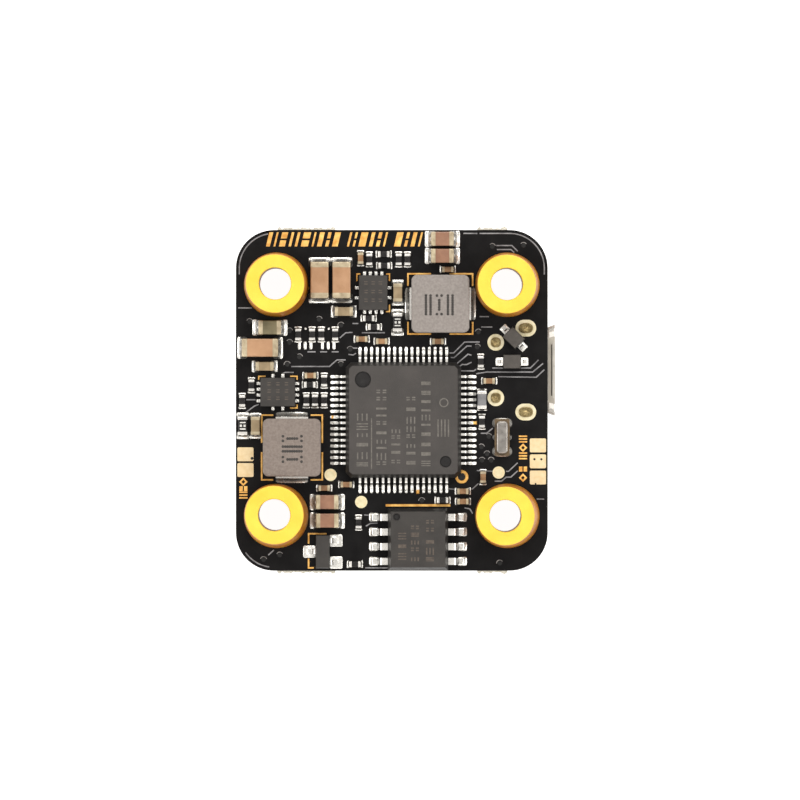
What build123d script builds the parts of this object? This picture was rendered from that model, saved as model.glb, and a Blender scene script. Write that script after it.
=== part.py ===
from build123d import *
import math
import os

# Flight controller board for a small quadcopter. All sizes are in millimetres.
#
# The origin is the centre of the 20 mm mounting pattern, on the underside of the bare board.
# +Z leaves the face that carries the processor, +Y points to the front edge and +X to the
# edge that the USB socket looks out of. The board stands on the lower flanges of its grommets.

# ---- driving dimensions ----
BOARD_WIDTH = 27.0
BOARD_LENGTH = 29.5
BOARD_THICKNESS = 1.6
BOARD_CORNER = 3.3
HOLE_PITCH = 20.0  # between mounting holes, both ways
SCREW_BORE = 2.75  # through each grommet
GROMMET_NECK = 4.0
GROMMET_BASE = 5.6  # flange diameter where it meets the board
GROMMET_TIP = 5.1  # flange diameter at its outer face
GROMMET_FLANGE = 3.0  # height of one flange
GROMMET_ROUND = 0.12  # on the outer rim of a flange
USB_CENTRE = 2.62  # the socket's place along the right edge
USB_MOUTH = 14.15  # how far right the socket's lips reach
FOIL = 0.05  # thickness of a bare pad or a plating
GAP = 0.02  # assembly clearance between fitted pieces

SEATED = (Align.CENTER, Align.CENTER, Align.MIN)  # a box that stands on its place


# ---- placing and writing ----
def top(x, y, turn=0):
    """A place on the processor side of the board."""
    return Location((x, y, BOARD_THICKNESS), (0, 0, turn))


def under(x, y, turn=0):
    """A place on the underside, where a piece hangs upside down."""
    return Location((x, y, 0), (180, 0, turn))


def write(piece, name):
    """Label one finished sub-part and write it as its own STEP file."""
    piece.part.label = name
    export_step(piece.part, f"parts/{name}.step")


def copies(piece, places):
    """The same small piece at every place of a list, as separate solids."""
    with BuildPart() as group:
        with Locations(*places):
            add(piece.part)
    return group


# ---- pieces that several components share ----
def gull_wing(reach, shoulder, foot, gauge, width, rise):
    """A bent lead that leaves a package at x = 0 and ends in a flat foot on z = 0."""
    with BuildPart() as lead:
        with BuildSketch(Plane.XZ):
            with BuildLine():
                FilletPolyline(
                    (0, rise),
                    (shoulder, rise),
                    (reach - foot, gauge / 2),
                    (reach, gauge / 2),
                    radius=gauge,
                )
            trace(line_width=gauge)
        extrude(amount=width / 2, both=True)
    return lead


def moulded_package(length, width, height, standoff, draft, corner=0.0):
    """A moulded chip body whose four sides slope away from a parting line at half height."""
    with BuildPart() as package:
        with BuildSketch(Plane.XY.offset(standoff + height / 2)) as parting_line:
            Rectangle(length, width)
            if corner:
                chamfer(parting_line.vertices(), corner)
        extrude(amount=height / 2, both=True, taper=draft)
    return package


def lead_places(side_x, pitch, count):
    """Places for straight rows of leads along the left and right sides of a package."""
    first = -pitch * (count - 1) / 2
    rows = [first + pitch * i for i in range(count)]
    right = [Location((side_x, y, 0)) for y in rows]
    left = [Location((-side_x, y, 0), (0, 0, 180)) for y in rows]
    return right + left


def chip_core(length, width, height, band):
    """The middle of a chip capacitor or resistor, between its two end caps."""
    with BuildPart() as core:
        with Locations((0, 0, GAP)):
            Box(length - 2 * band, width - 2 * GAP, height - 2 * GAP, align=SEATED)
        fillet(core.edges().filter_by(Axis.X), min(width, height) * 0.08)
    return core


def chip_ends(length, width, height, band):
    """The two metal end caps of a chip capacitor or resistor."""
    with BuildPart() as ends:
        with Locations((-(length - band) / 2, 0), ((length - band) / 2, 0)):
            Box(band, width, height, align=SEATED)
        outer = ends.faces().filter_by(Axis.X)
        outer_edges = outer.sort_by(Axis.X)[0].edges() + outer.sort_by(Axis.X)[-1].edges()
        fillet(outer_edges, band * 0.3)
        fillet(ends.edges().filter_by(Axis.X), min(width, height) * 0.08)
    return ends


def write_chips(name, places, length, width, height, band):
    """Write the bodies and the end caps of one size of chip component, each as one node."""
    write(copies(chip_core(length, width, height, band), places), f"{name}_bodies")
    write(copies(chip_ends(length, width, height, band), places), f"{name}_terminals")


# ---- bare board ----
TAB_REMNANTS = ((-7.4, 5.0), (8.7, 2.6))  # x and width of each rough break-off stub
TAB_REACH = 0.3  # how far a stub's tallest splinters stand out of the edge
TAB_HEIGHT = 1.2
TAB_GRAIN = 0.2  # between one splinter and the next
USB_SLOTS = ((11.6, 3.63), (11.6, -3.63))  # from the socket's centre line
USB_ROUNDS = ((9.0, 2.4), (9.0, -2.4))
SLOT_HOLE = (1.25, 0.9)
ROUND_HOLE = 0.9
SLOT_RING = (1.8, 1.45)  # outline of the plating round a slot
ROUND_RING = 1.44


def torn_stub(width):
    """The outline of a snapped-off stub: low and uneven, with a tall splinter at each end."""
    steps = round(width / TAB_GRAIN)
    outline = [(-width / 2, -TAB_REACH)]
    for i in range(steps + 1):
        rough = 0.55 + 0.2 * math.sin(2.4 * i) + 0.15 * math.sin(5.3 * i)
        splinter = 1.0 if i in (1, steps - 1) else rough
        outline.append((width * (i / steps - 0.5), TAB_REACH * splinter))
    outline.append((width / 2, -TAB_REACH))
    return outline


def leg_holes(slot, diameter, mode=Mode.ADD):
    """The outlines of the socket's two slots and two round holes, in the sketch being drawn."""
    with Locations(*[(x, USB_CENTRE + y) for x, y in USB_SLOTS]):
        SlotOverall(*slot, mode=mode)
    with Locations(*[(x, USB_CENTRE + y) for x, y in USB_ROUNDS]):
        Circle(diameter / 2, mode=mode)


def circuit_board():
    """The laminate, with its mounting holes, the socket's leg holes and four edge stubs."""
    with BuildPart() as board:
        with BuildSketch():
            RectangleRounded(BOARD_WIDTH, BOARD_LENGTH, BOARD_CORNER)
            with GridLocations(HOLE_PITCH, HOLE_PITCH, 2, 2):
                Circle(GROMMET_NECK / 2, mode=Mode.SUBTRACT)
            leg_holes(SLOT_HOLE, ROUND_HOLE, Mode.SUBTRACT)
        extrude(amount=BOARD_THICKNESS)
        with BuildSketch(Plane.XY.offset((BOARD_THICKNESS - TAB_HEIGHT) / 2)):
            for x, width in TAB_REMNANTS:
                for side in (-1, 1):
                    with BuildLine():
                        edge = side * BOARD_LENGTH / 2
                        Polyline(*[(x + u, edge + side * v) for u, v in torn_stub(width)], close=True)
                    make_face()
        extrude(amount=TAB_HEIGHT)
    return board


def plated_holes():
    """The plated barrels and solder rings that the socket's legs pass through."""
    with BuildPart() as plating:
        rings = (Plane.XY.offset(-FOIL), Plane.XY.offset(BOARD_THICKNESS))
        for face in rings:
            with BuildSketch(face):
                leg_holes(SLOT_RING, ROUND_RING)
            extrude(amount=FOIL)
        with BuildSketch():
            leg_holes(SLOT_HOLE, ROUND_HOLE)
        extrude(amount=BOARD_THICKNESS)
        with BuildSketch(Plane.XY.offset(-FOIL)):
            leg_holes((SLOT_HOLE[0] - 2 * FOIL, SLOT_HOLE[1] - 2 * FOIL), ROUND_HOLE - 2 * FOIL)
        extrude(amount=BOARD_THICKNESS + 2 * FOIL, mode=Mode.SUBTRACT)
    return plating


# ---- grommets ----
def grommet():
    """A soft spool: two tapered flanges joined by a neck that fills the mounting hole."""
    bore = SCREW_BORE / 2
    neck = GROMMET_NECK / 2 - GAP
    base = GROMMET_BASE / 2
    tip = GROMMET_TIP / 2
    low = -GROMMET_FLANGE
    high = BOARD_THICKNESS + GROMMET_FLANGE
    with BuildPart() as spool:
        with BuildSketch(Plane.XZ) as profile:
            with BuildLine():
                Polyline(
                    (bore, low),
                    (tip, low),
                    (base, -GAP),
                    (neck, -GAP),
                    (neck, BOARD_THICKNESS + GAP),
                    (base, BOARD_THICKNESS + GAP),
                    (tip, high),
                    (bore, high),
                    close=True,
                )
            make_face()
            rims = profile.vertices().filter_by(lambda v: abs(v.X - tip) < 1e-6)
            fillet(rims, GROMMET_ROUND)
        revolve(axis=Axis.Z)
    return spool


GROMMETS = {
    "grommet_front_left": (-HOLE_PITCH / 2, HOLE_PITCH / 2),
    "grommet_front_right": (HOLE_PITCH / 2, HOLE_PITCH / 2),
    "grommet_rear_left": (-HOLE_PITCH / 2, -HOLE_PITCH / 2),
    "grommet_rear_right": (HOLE_PITCH / 2, -HOLE_PITCH / 2),
}


# Each kind of bent lead below is given by its reach, shoulder, foot, gauge and width.
# ---- processor: 64 leads at 0.5 mm ----
PROCESSOR_PLACE = top(1.0, -1.7)
PROCESSOR_BODY = 10.0
PROCESSOR_HEIGHT = 1.4
PROCESSOR_STANDOFF = 0.1
PROCESSOR_LEADS = 16  # on each side
PROCESSOR_PITCH = 0.5
PROCESSOR_LEAD = (1.0, 0.42, 0.42, 0.14, 0.2)
PROCESSOR_DRAFT = 24  # degrees
PROCESSOR_DIMPLES = ((-3.5, 3.5, 0.7), (3.65, -3.6, 0.5))  # x, y and radius
PROCESSOR_CORNER = 0.45
DIMPLE_DEPTH = 0.12


def processor_package():
    side = PROCESSOR_BODY
    body = moulded_package(
        side, side, PROCESSOR_HEIGHT, PROCESSOR_STANDOFF, PROCESSOR_DRAFT, PROCESSOR_CORNER
    )
    with BuildPart() as package:
        add(body.part)
        for x, y, radius in PROCESSOR_DIMPLES:
            with Locations((x, y, PROCESSOR_STANDOFF + PROCESSOR_HEIGHT)):
                Hole(radius, depth=DIMPLE_DEPTH)
    return copies(package, [PROCESSOR_PLACE])


def processor_leads():
    lead = gull_wing(*PROCESSOR_LEAD, PROCESSOR_STANDOFF + PROCESSOR_HEIGHT / 2)
    with BuildPart() as one_side:
        with Locations((PROCESSOR_BODY / 2, 0)):
            with GridLocations(0, PROCESSOR_PITCH, 1, PROCESSOR_LEADS):
                add(lead.part)
    with BuildPart() as leads:
        with PolarLocations(0, 4):
            add(one_side.part)
    return copies(leads, [PROCESSOR_PLACE])


# ---- flash memory: wide body, eight leads ----
FLASH_PLACE = top(2.27, -12.02)
FLASH_BODY = (5.23, 5.36)
FLASH_HEIGHT = 1.75
FLASH_STANDOFF = 0.1
FLASH_PITCH = 1.27
FLASH_DIMPLE = (-1.85, 1.95, 0.3)  # x, y and radius
FLASH_LEAD = (1.35, 0.62, 0.5, 0.2, 0.6)
FLASH_DRAFT = 17


def flash_memory_package():
    body = moulded_package(*FLASH_BODY, FLASH_HEIGHT, FLASH_STANDOFF, FLASH_DRAFT)
    x, y, radius = FLASH_DIMPLE
    with BuildPart() as package:
        add(body.part)
        with Locations((x, y, FLASH_STANDOFF + FLASH_HEIGHT)):
            Hole(radius, depth=DIMPLE_DEPTH)
    return copies(package, [FLASH_PLACE])


def flash_memory_leads():
    lead = gull_wing(*FLASH_LEAD, FLASH_STANDOFF + FLASH_HEIGHT / 2)
    leads = copies(lead, lead_places(FLASH_BODY[0] / 2, FLASH_PITCH, 4))
    return copies(leads, [FLASH_PLACE])


# ---- power inductors ----
INDUCTORS = {"front": top(4.2, 8.35), "left": top(-8.64, -4.08, 90)}
INDUCTOR_SIDE = 5.0
INDUCTOR_HEIGHT = 2.0
INDUCTOR_CORNER = 0.5
INDUCTOR_ROUND = 0.12  # on the core's upper edges
INDUCTOR_STRIP = 0.15  # thickness of the terminal strip
INDUCTOR_STRIP_WIDTH = 2.8
INDUCTOR_STRIP_FOLD = 1.1  # how far a strip goes up the core's side and under its foot


def inductor_core():
    """A pressed iron-powder block that stands on its folded terminal strips."""
    with BuildPart() as core:
        with BuildSketch(Plane.XY.offset(INDUCTOR_STRIP)):
            RectangleRounded(INDUCTOR_SIDE, INDUCTOR_SIDE, INDUCTOR_CORNER)
        extrude(amount=INDUCTOR_HEIGHT - INDUCTOR_STRIP)
        fillet(core.faces().sort_by(Axis.Z)[-1].edges(), INDUCTOR_ROUND)
    return core


def inductor_terminals():
    """Two L-shaped strips, each up one side of the core and folded under it."""
    side = INDUCTOR_SIDE / 2
    with BuildPart() as strip:
        with BuildSketch(Plane.XZ):
            with BuildLine():
                Polyline(
                    (side - INDUCTOR_STRIP_FOLD, 0),
                    (side + INDUCTOR_STRIP, 0),
                    (side + INDUCTOR_STRIP, INDUCTOR_STRIP_FOLD),
                    (side, INDUCTOR_STRIP_FOLD),
                    (side, INDUCTOR_STRIP),
                    (side - INDUCTOR_STRIP_FOLD, INDUCTOR_STRIP),
                    close=True,
                )
            make_face()
        extrude(amount=INDUCTOR_STRIP_WIDTH / 2, both=True)
    return copies(strip, [Location((0, 0, 0)), Location((0, 0, 0), (0, 0, 180))])


# ---- voltage converters: flat packages with pads under their edges ----
CONVERTERS = {"front": top(-1.61, 9.31), "left": top(-9.86, 0.71, 90)}
CONVERTER_BODY = (2.5, 3.0, 0.85)
CONVERTER_PAD = (0.25, 0.32, 0.18)
CONVERTER_SHORT_PITCH = 0.5
CONVERTER_LONG_PITCH = 0.86
CONVERTER_EDGE = 0.04  # chamfer


def converter_package():
    with BuildPart() as package:
        with Locations((0, 0, GAP)):
            Box(*CONVERTER_BODY, align=SEATED)
        chamfer(package.faces().sort_by(Axis.Z)[-1].edges(), CONVERTER_EDGE)
    return package


def converter_pads():
    """Four pads on each short side and two on each long side."""
    width, length, height = CONVERTER_PAD
    with BuildPart() as pads:
        for side in (-1, 1):
            with Locations((0, side * (CONVERTER_BODY[1] + length) / 2)):
                with GridLocations(CONVERTER_SHORT_PITCH, 0, 4, 1):
                    Box(width, length, height, align=SEATED)
            with Locations((side * (CONVERTER_BODY[0] + length) / 2, 0)):
                with GridLocations(0, CONVERTER_LONG_PITCH, 1, 2):
                    Box(length, width, height, align=SEATED)
    return pads


# ---- chip capacitors and resistors: length, width, height and the length of an end cap ----
LARGE_CAPACITOR = (3.2, 1.6, 1.5, 0.5)
MEDIUM_CAPACITOR = (2.0, 1.25, 1.25, 0.4)
SMALL_CAPACITOR = (1.6, 0.8, 0.8, 0.3)
SMALL_RESISTOR = (1.6, 0.8, 0.45, 0.28)
TINY_CAPACITOR = (1.0, 0.5, 0.5, 0.22)
TINY_RESISTOR = (1.0, 0.5, 0.35, 0.22)
FERRITE_BEAD = (1.6, 0.8, 0.75, 0.3)

LARGE_CAPACITORS = [top(-6.25, 10.4, 90), top(-4.35, 10.4, 90), top(-11.4, 4.55)]
MEDIUM_CAPACITORS = [
    top(4.38, 13.97),
    top(4.38, 12.5),
    top(-5.59, -8.8),
    top(-5.58, -10.4),
    top(-10.55, 6.3),
    under(6.3, 4.6, 90),
    under(6.3, 0.9, 90),
]
SMALL_CAPACITORS = [
    top(-4.15, 7.69),
    top(0.52, 9.32, 90),
    top(-11.0, 2.95),
    top(-11.8, -2.2, 90),
    under(3.2, 2.6, 90),
    under(-4.6, -2.6),
    under(-8.6, -2.6),
    under(-9.6, 6.0),
]
SMALL_RESISTORS = [top(0.5, 6.75, 90), top(-12.9, -2.2, 90)]
TINY_CAPACITORS = [
    top(-2.7, 12.3, 90),
    top(4.85, 11.33),
    top(-2.6, 5.3),
    top(-0.88, 5.11),
    top(4.0, 5.1),
    top(-7.05, 2.15),
    top(8.43, 1.68),
    top(-3.94, -7.29),
    top(-5.85, -7.6),
    top(6.15, -7.87),
    top(6.16, -8.75),
    top(7.9, -6.65, 90),
    under(-3.4, 4.6, 90),
    under(-1.0, 4.6, 90),
    under(2.4, -0.6, 90),
    under(-1.4, -0.6, 90),
    under(-6.6, 4.6, 90),
    under(4.4, 7.6),
]
TINY_RESISTORS = [
    top(-1.95, 12.2, 90),
    top(0.6, 12.2, 90),
    top(1.35, 12.2, 90),
    top(-5.85, 1.7, 90),
    top(-7.4, 0.0, 90),
    top(-6.65, 0.0, 90),
    top(-5.85, 0.0, 90),
    top(-12.15, 1.3, 90),
    top(-12.95, -0.05, 90),
    top(7.7, 3.35, 90),
    top(7.8, -1.85, 90),
    top(-2.87, -10.58, 90),
    top(-8.1, 5.7, 90),
    top(-6.9, 5.7, 90),
    top(-6.1, 5.7, 90),
    top(-4.9, 5.7, 90),
    top(-0.7, 12.65),
    top(-0.66, 11.66),
    top(-2.0, 7.1),
    top(-1.55, 6.35),
    top(-7.1, 1.35),
    top(4.4, -8.65),
    top(-3.19, -14.19),
    under(-5.4, 4.6, 90),
    under(0.6, 4.6, 90),
    under(0.5, -3.4),
    under(0.5, -4.3),
    under(-1.6, -7.6, 90),
    under(-0.6, -7.6, 90),
    under(8.6, -5.6, 90),
    under(9.6, -5.6, 90),
]

FERRITE_BEADS = [top(7.8, 0.05, 90)]

# ---- diodes, and three-lead packages: a transistor on top and two regulators underneath ----
DIODES = [top(10.55, 5.4, -45), top(10.4, 3.35)]
DIODE_BODY = (1.55, 1.25, 0.9)
DIODE_LEAD = (0.55, 0.12, 0.3, 0.12, 0.35)
DIODE_LEAD_RISE = 0.3
TRANSISTORS = [top(-5.97, -13.09), under(-4.6, -5.6), under(-8.6, -5.2)]
TRANSISTOR_BODY = (1.25, 2.9, 0.95)
TRANSISTOR_LEAD = (0.6, 0.14, 0.34, 0.12, 0.4)
TRANSISTOR_LEAD_RISE = 0.5
TRANSISTOR_PITCH = 1.9  # between the two leads of the right side
SMALL_DRAFT = 7


def diode_package():
    return moulded_package(*DIODE_BODY, GAP, SMALL_DRAFT)


def diode_leads():
    lead = gull_wing(*DIODE_LEAD, DIODE_LEAD_RISE)
    return copies(lead, lead_places(DIODE_BODY[0] / 2 - 0.03, 1, 1))


def transistor_package():
    return moulded_package(*TRANSISTOR_BODY, GAP, SMALL_DRAFT)


def transistor_leads():
    """One lead on the left side and two on the right."""
    side = TRANSISTOR_BODY[0] / 2
    lead = gull_wing(*TRANSISTOR_LEAD, TRANSISTOR_LEAD_RISE)
    places = [Location((side, step * TRANSISTOR_PITCH / 2, 0)) for step in (-1, 1)]
    places.append(Location((-side, 0, 0), (0, 0, 180)))
    return copies(lead, places)


# ---- parts that are a ceramic base under a metal lid ----
RESONATOR_PLACE = [top(9.55, -3.2, 90)]
CRYSTAL_PLACE = [under(5.3, 10.8, 90)]
BAROMETER_PLACE = [under(-9.6, 2.9)]
# length, width and height of each base, then the length, width and height of its lid
RESONATOR_CAN = ((3.2, 1.3, 0.5), (2.8, 0.95, 0.3))
CRYSTAL_CAN = ((3.2, 2.5, 0.45), (2.9, 2.2, 0.3))
BAROMETER_CAN = ((2.5, 2.0, 0.35), (2.3, 1.8, 0.6))
BAROMETER_VENT = 0.14  # radius
CAN_BASE_CORNER = 0.12
CAN_LID_CORNER = 0.3


def can_base(size):
    with BuildPart() as base:
        Box(*size, align=SEATED)
        fillet(base.edges().filter_by(Axis.Z), CAN_BASE_CORNER)
    return base


def can_lid(base_size, size, vent=0.0):
    """A rounded metal lid that rests on its base, with a round vent if it has one."""
    length, width, height = size
    low = base_size[2]
    with BuildPart() as lid:
        with BuildSketch(Plane.XY.offset(low)):
            RectangleRounded(length, width, CAN_LID_CORNER)
        extrude(amount=height)
        fillet(lid.faces().sort_by(Axis.Z)[-1].edges(), height * 0.4)
        if vent:
            with Locations((length / 4, width / 4, low + height)):
                Hole(vent, depth=height * 0.8)
    return lid


# ---- bare pads ----
JUMPER_PAD = (1.4, 1.2)
WIRE_PAD = (1.5, 1.15)
TEST_PAD = 0.53  # radius
PAD_CORNER = 0.12


def pad(width, length):
    with BuildPart() as foil:
        with BuildSketch():
            RectangleRounded(width, length, PAD_CORNER)
        extrude(amount=FOIL)
    return foil


def test_pad():
    with BuildPart() as foil:
        with BuildSketch():
            Circle(TEST_PAD)
        extrude(amount=FOIL)
    return foil


JUMPER_PADS = [top(12.65, y) for y in (-3.9, -5.28, -6.68)]
JUMPER_PADS += [top(-12.67, y) for y in (-4.67, -6.03)]
TEST_PADS = [top(-5.3, -6.45), top(-2.65, -8.8), top(9.25, -6.25)]
WIRE_PADS = [under(-12.55, 1.75 * i - 6.1) for i in range(8)]
WIRE_PADS += [under(12.55, 1.75 * i - 6.7) for i in range(3)]
WIRE_PADS += [under(1.75 * i - 5.25, 13.8, 90) for i in range(7)]

# ---- USB socket, built upright with its mouth towards +X ----
USB_PLACE = [under(0, USB_CENTRE)]
USB_BACK = 8.6
USB_STRAIGHT = 13.55  # where the straight shell ends and its lips begin
USB_HEIGHT = 2.45
USB_NARROW = 2.75  # half the shell's width at the board
USB_WIDE = 3.75  # half its width from the shoulder down
USB_SHOULDER = 1.0
USB_ROUND = 0.3
USB_GAUGE = 0.25
USB_FLARE = 22  # degrees that the lips open
USB_LIP_GAP = 0.1  # from the straight shell to where the lips part
USB_WINDOW = (1.4, 3.1, 0.6)  # at the back, where the contacts' feet come out
USB_LEG_TOP = 1.15  # how far a leg goes into its hole
USB_LEGS = ((0.9, 3.62, 1.6), (0.5, 2.4, 0.2))  # length, distance from the centre line, and rise
USB_TONGUE = (3.7, 0.6, 1.4)  # width, thickness and height of its lower face
USB_TONGUE_LENGTH = 2.9
USB_BLOCK_END = 10.4  # where the insulator's block gives way to its tongue
USB_CONTACT_PITCH = 0.65
USB_CONTACT_GAUGE = 0.12
USB_CONTACT_WIDTH = 0.3
USB_CONTACT_BENDS = (13.1, 9.1, 8.75, 8.0)  # its tip, its two bends and the end of its foot


def usb_section(x):
    """The plane across the socket at x, with its first axis along the board's edge."""
    return Plane(origin=(x, 0, 0), x_dir=(0, 1, 0), z_dir=(1, 0, 0))


def usb_outline(inset=0.0):
    """The socket's D-like outline, narrow at the board and wide away from it."""
    narrow = USB_NARROW - inset * 0.6
    wide = USB_WIDE - inset
    low = inset + FOIL
    high = USB_HEIGHT - inset
    with BuildSketch(Plane.XY) as outline:
        with BuildLine():
            Polyline(
                (-narrow, low),
                (narrow, low),
                (wide, USB_SHOULDER),
                (wide, high),
                (-wide, high),
                (-wide, USB_SHOULDER),
                close=True,
            )
        make_face()
        fillet(outline.vertices(), USB_ROUND - inset * 0.5)
    return outline.sketch


def usb_shell():
    """A folded sheet-metal shell with flared lips, and legs that pass into the board."""
    lip_length = USB_MOUTH - USB_STRAIGHT
    with BuildPart() as shell:
        with BuildSketch(usb_section(USB_BACK)):
            add(usb_outline())
            add(usb_outline(USB_GAUGE), mode=Mode.SUBTRACT)
        extrude(amount=USB_STRAIGHT - USB_BACK)
        with BuildSketch(usb_section(USB_STRAIGHT)):
            add(usb_outline())
        extrude(amount=lip_length, taper=-USB_FLARE)
        with BuildSketch(usb_section(USB_STRAIGHT)):
            add(usb_outline(USB_GAUGE))
        extrude(amount=lip_length, taper=-USB_FLARE, mode=Mode.SUBTRACT)
        # the lips are four separate flaps, parted at the corners
        with BuildSketch(usb_section(USB_STRAIGHT + USB_LIP_GAP)):
            for side in (-1, 1):
                with Locations((side * (USB_NARROW + USB_WIDE) / 2, USB_SHOULDER * 0.4)):
                    Rectangle(1.1, 1.5, rotation=side * 40)
                with Locations((side * (USB_WIDE + FOIL), USB_HEIGHT)):
                    Rectangle(0.9, 0.5, rotation=side * 45)
        extrude(amount=lip_length, mode=Mode.SUBTRACT)
        # a window at the back lets the contact feet out onto the board
        with Locations((USB_BACK, 0, 0)):
            Box(*USB_WINDOW, mode=Mode.SUBTRACT)
        for (x, _), (length, aside, rise) in zip((USB_SLOTS[0], USB_ROUNDS[0]), USB_LEGS):
            with Locations((x, aside, -USB_LEG_TOP), (x, -aside, -USB_LEG_TOP)):
                Box(length, USB_GAUGE, USB_LEG_TOP + rise, align=SEATED)
    return shell


def usb_contacts():
    """Five strips that run along the tongue and come out behind it as board feet."""
    tip, upper_bend, lower_bend, foot_end = USB_CONTACT_BENDS
    along_tongue = USB_TONGUE[2] - USB_CONTACT_GAUGE / 2
    on_board = USB_CONTACT_GAUGE / 2
    with BuildPart() as contact:
        with BuildSketch(Plane.XZ):
            with BuildLine():
                FilletPolyline(
                    (tip, along_tongue),
                    (upper_bend, along_tongue),
                    (lower_bend, on_board),
                    (foot_end, on_board),
                    radius=0.15,
                )
            trace(line_width=USB_CONTACT_GAUGE)
        extrude(amount=USB_CONTACT_WIDTH / 2, both=True)
    with BuildPart() as contacts:
        with GridLocations(0, USB_CONTACT_PITCH, 1, 5):
            add(contact.part)
    return contacts


def usb_insulator(contacts):
    """A block that closes the back of the shell and carries the tongue."""
    width, thickness, low = USB_TONGUE
    block_start = USB_BACK + 0.1
    with BuildPart() as insulator:
        with BuildSketch(usb_section(block_start)):
            add(usb_outline(USB_GAUGE + GAP))
        extrude(amount=USB_BLOCK_END - block_start)
        with Locations((USB_BLOCK_END, 0, low)):
            Box(USB_TONGUE_LENGTH, width, thickness, align=(Align.MIN, Align.CENTER, Align.MIN))
        add(contacts.part, mode=Mode.SUBTRACT)
    return insulator


# ---- motor controller socket, built upright with its mouth towards +Y ----
ESC_PLACE = [under(0, -10.3)]
ESC_BODY = (10.0, 4.25, 2.9)
ESC_PINS = 8
ESC_PITCH = 1.0
ESC_WALL = 0.5
ESC_CAVITY_DEPTH = 3.4
ESC_PIN_GAUGE = 0.16
ESC_PIN_WIDTH = 0.3
ESC_FOOT = 0.95  # how far the pins' feet reach out behind
ESC_WINDOW = (1.6, 1.4)
ESC_WINDOW_X = 2.6
ESC_TAB = (0.7, 1.4, 1.6)  # reach, length and height
ESC_TAB_GAUGE = 0.2
ESC_TAB_SETBACK = 2.0


def esc_connector_contacts():
    """Flat pins that stand in the cavity and come out behind it as board feet."""
    middle = ESC_BODY[2] / 2
    on_board = ESC_PIN_GAUGE / 2
    with BuildPart() as pin:
        with BuildSketch(Plane.YZ):
            with BuildLine():
                FilletPolyline(
                    (ESC_CAVITY_DEPTH, middle),
                    (-0.25, middle),
                    (-ESC_FOOT / 2, on_board),
                    (-ESC_FOOT, on_board),
                    radius=0.2,
                )
            trace(line_width=ESC_PIN_GAUGE)
        extrude(amount=ESC_PIN_WIDTH / 2, both=True)
    with BuildPart() as pins:
        with GridLocations(ESC_PITCH, 0, ESC_PINS, 1):
            add(pin.part)
    return pins


def esc_connector_housing(contacts):
    """A side-entry socket body, open in front, with latch windows in its roof."""
    width, depth, height = ESC_BODY
    seated_back = (Align.CENTER, Align.MIN, Align.MIN)
    with BuildPart() as housing:
        Box(width, depth, height, align=seated_back)
        with Locations((0, depth - ESC_CAVITY_DEPTH, ESC_WALL)):
            Box(
                width - 2 * ESC_WALL,
                ESC_CAVITY_DEPTH,
                height - 2 * ESC_WALL,
                align=seated_back,
                mode=Mode.SUBTRACT,
            )
        window_place = depth - ESC_WINDOW[1], height - ESC_WALL
        with Locations((-ESC_WINDOW_X, *window_place), (ESC_WINDOW_X, *window_place)):
            Box(*ESC_WINDOW, ESC_WALL, align=seated_back, mode=Mode.SUBTRACT)
        add(contacts.part, mode=Mode.SUBTRACT)
    return housing


def esc_connector_tabs():
    """Two metal tabs that anchor the socket's sides to the board."""
    side = ESC_BODY[0] / 2
    reach, length, height = ESC_TAB
    with BuildPart() as tab:
        with BuildSketch(Plane.XZ.offset(-ESC_TAB_SETBACK)):
            with BuildLine():
                Polyline(
                    (side, 0),
                    (side + reach, 0),
                    (side + reach, ESC_TAB_GAUGE),
                    (side + ESC_TAB_GAUGE, ESC_TAB_GAUGE),
                    (side + ESC_TAB_GAUGE, height),
                    (side, height),
                    close=True,
                )
            make_face()
        extrude(amount=-length)
    with BuildPart() as tabs:
        add(tab.part)
        mirror(tab.part, about=Plane.YZ)
    return tabs


# ---- boot button, built upright ----
BUTTON_PLACE = [under(5.3, -5.6)]
BUTTON_BODY = (4.2, 2.8, 1.2)
BUTTON_COVER = 0.2
BUTTON_TRAVEL = 0.2
BUTTON_STEM = 0.8  # radius
BUTTON_PROUD = 0.5  # how far the stem stands above its cover
BUTTON_CORNER = 0.25
BUTTON_FLANGE = (1.05, 0.3)  # radius and thickness
BUTTON_WELL = (1.15, 0.65)  # radius and depth
BUTTON_FOOT = (0.45, 0.5)
BUTTON_FOOT_PITCH = 1.1
BUTTON_SKIRT = 1.6  # width of each folded side


def boot_button_base():
    """A moulded well with four feet, which the plunger's flange sinks into."""
    length, width, height = BUTTON_BODY
    with BuildPart() as base:
        Box(length, width, height, align=SEATED)
        fillet(base.edges().filter_by(Axis.Z), BUTTON_CORNER)
        with Locations((0, 0, height)):
            Hole(BUTTON_WELL[0], depth=BUTTON_WELL[1])
    return base


def boot_button_frame():
    """A thin steel cover with a round window, folded down to four solder feet."""
    length, width, height = BUTTON_BODY
    foot, foot_width = BUTTON_FOOT
    with BuildPart() as frame:
        with BuildSketch(Plane.XY.offset(height)):
            RectangleRounded(length, width, BUTTON_CORNER)
            Circle(BUTTON_STEM + 0.1, mode=Mode.SUBTRACT)
        extrude(amount=BUTTON_COVER)
        for side in (-1, 1):
            with Locations((side * (length + BUTTON_COVER) / 2, 0, 0)):
                Box(BUTTON_COVER, BUTTON_SKIRT, height + BUTTON_COVER, align=SEATED)
            with GridLocations(0, BUTTON_FOOT_PITCH, 1, 2):
                with Locations((side * (length / 2 + BUTTON_COVER + foot / 2), 0, 0)):
                    Box(foot, foot_width, BUTTON_COVER, align=SEATED)
    return frame


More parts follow.
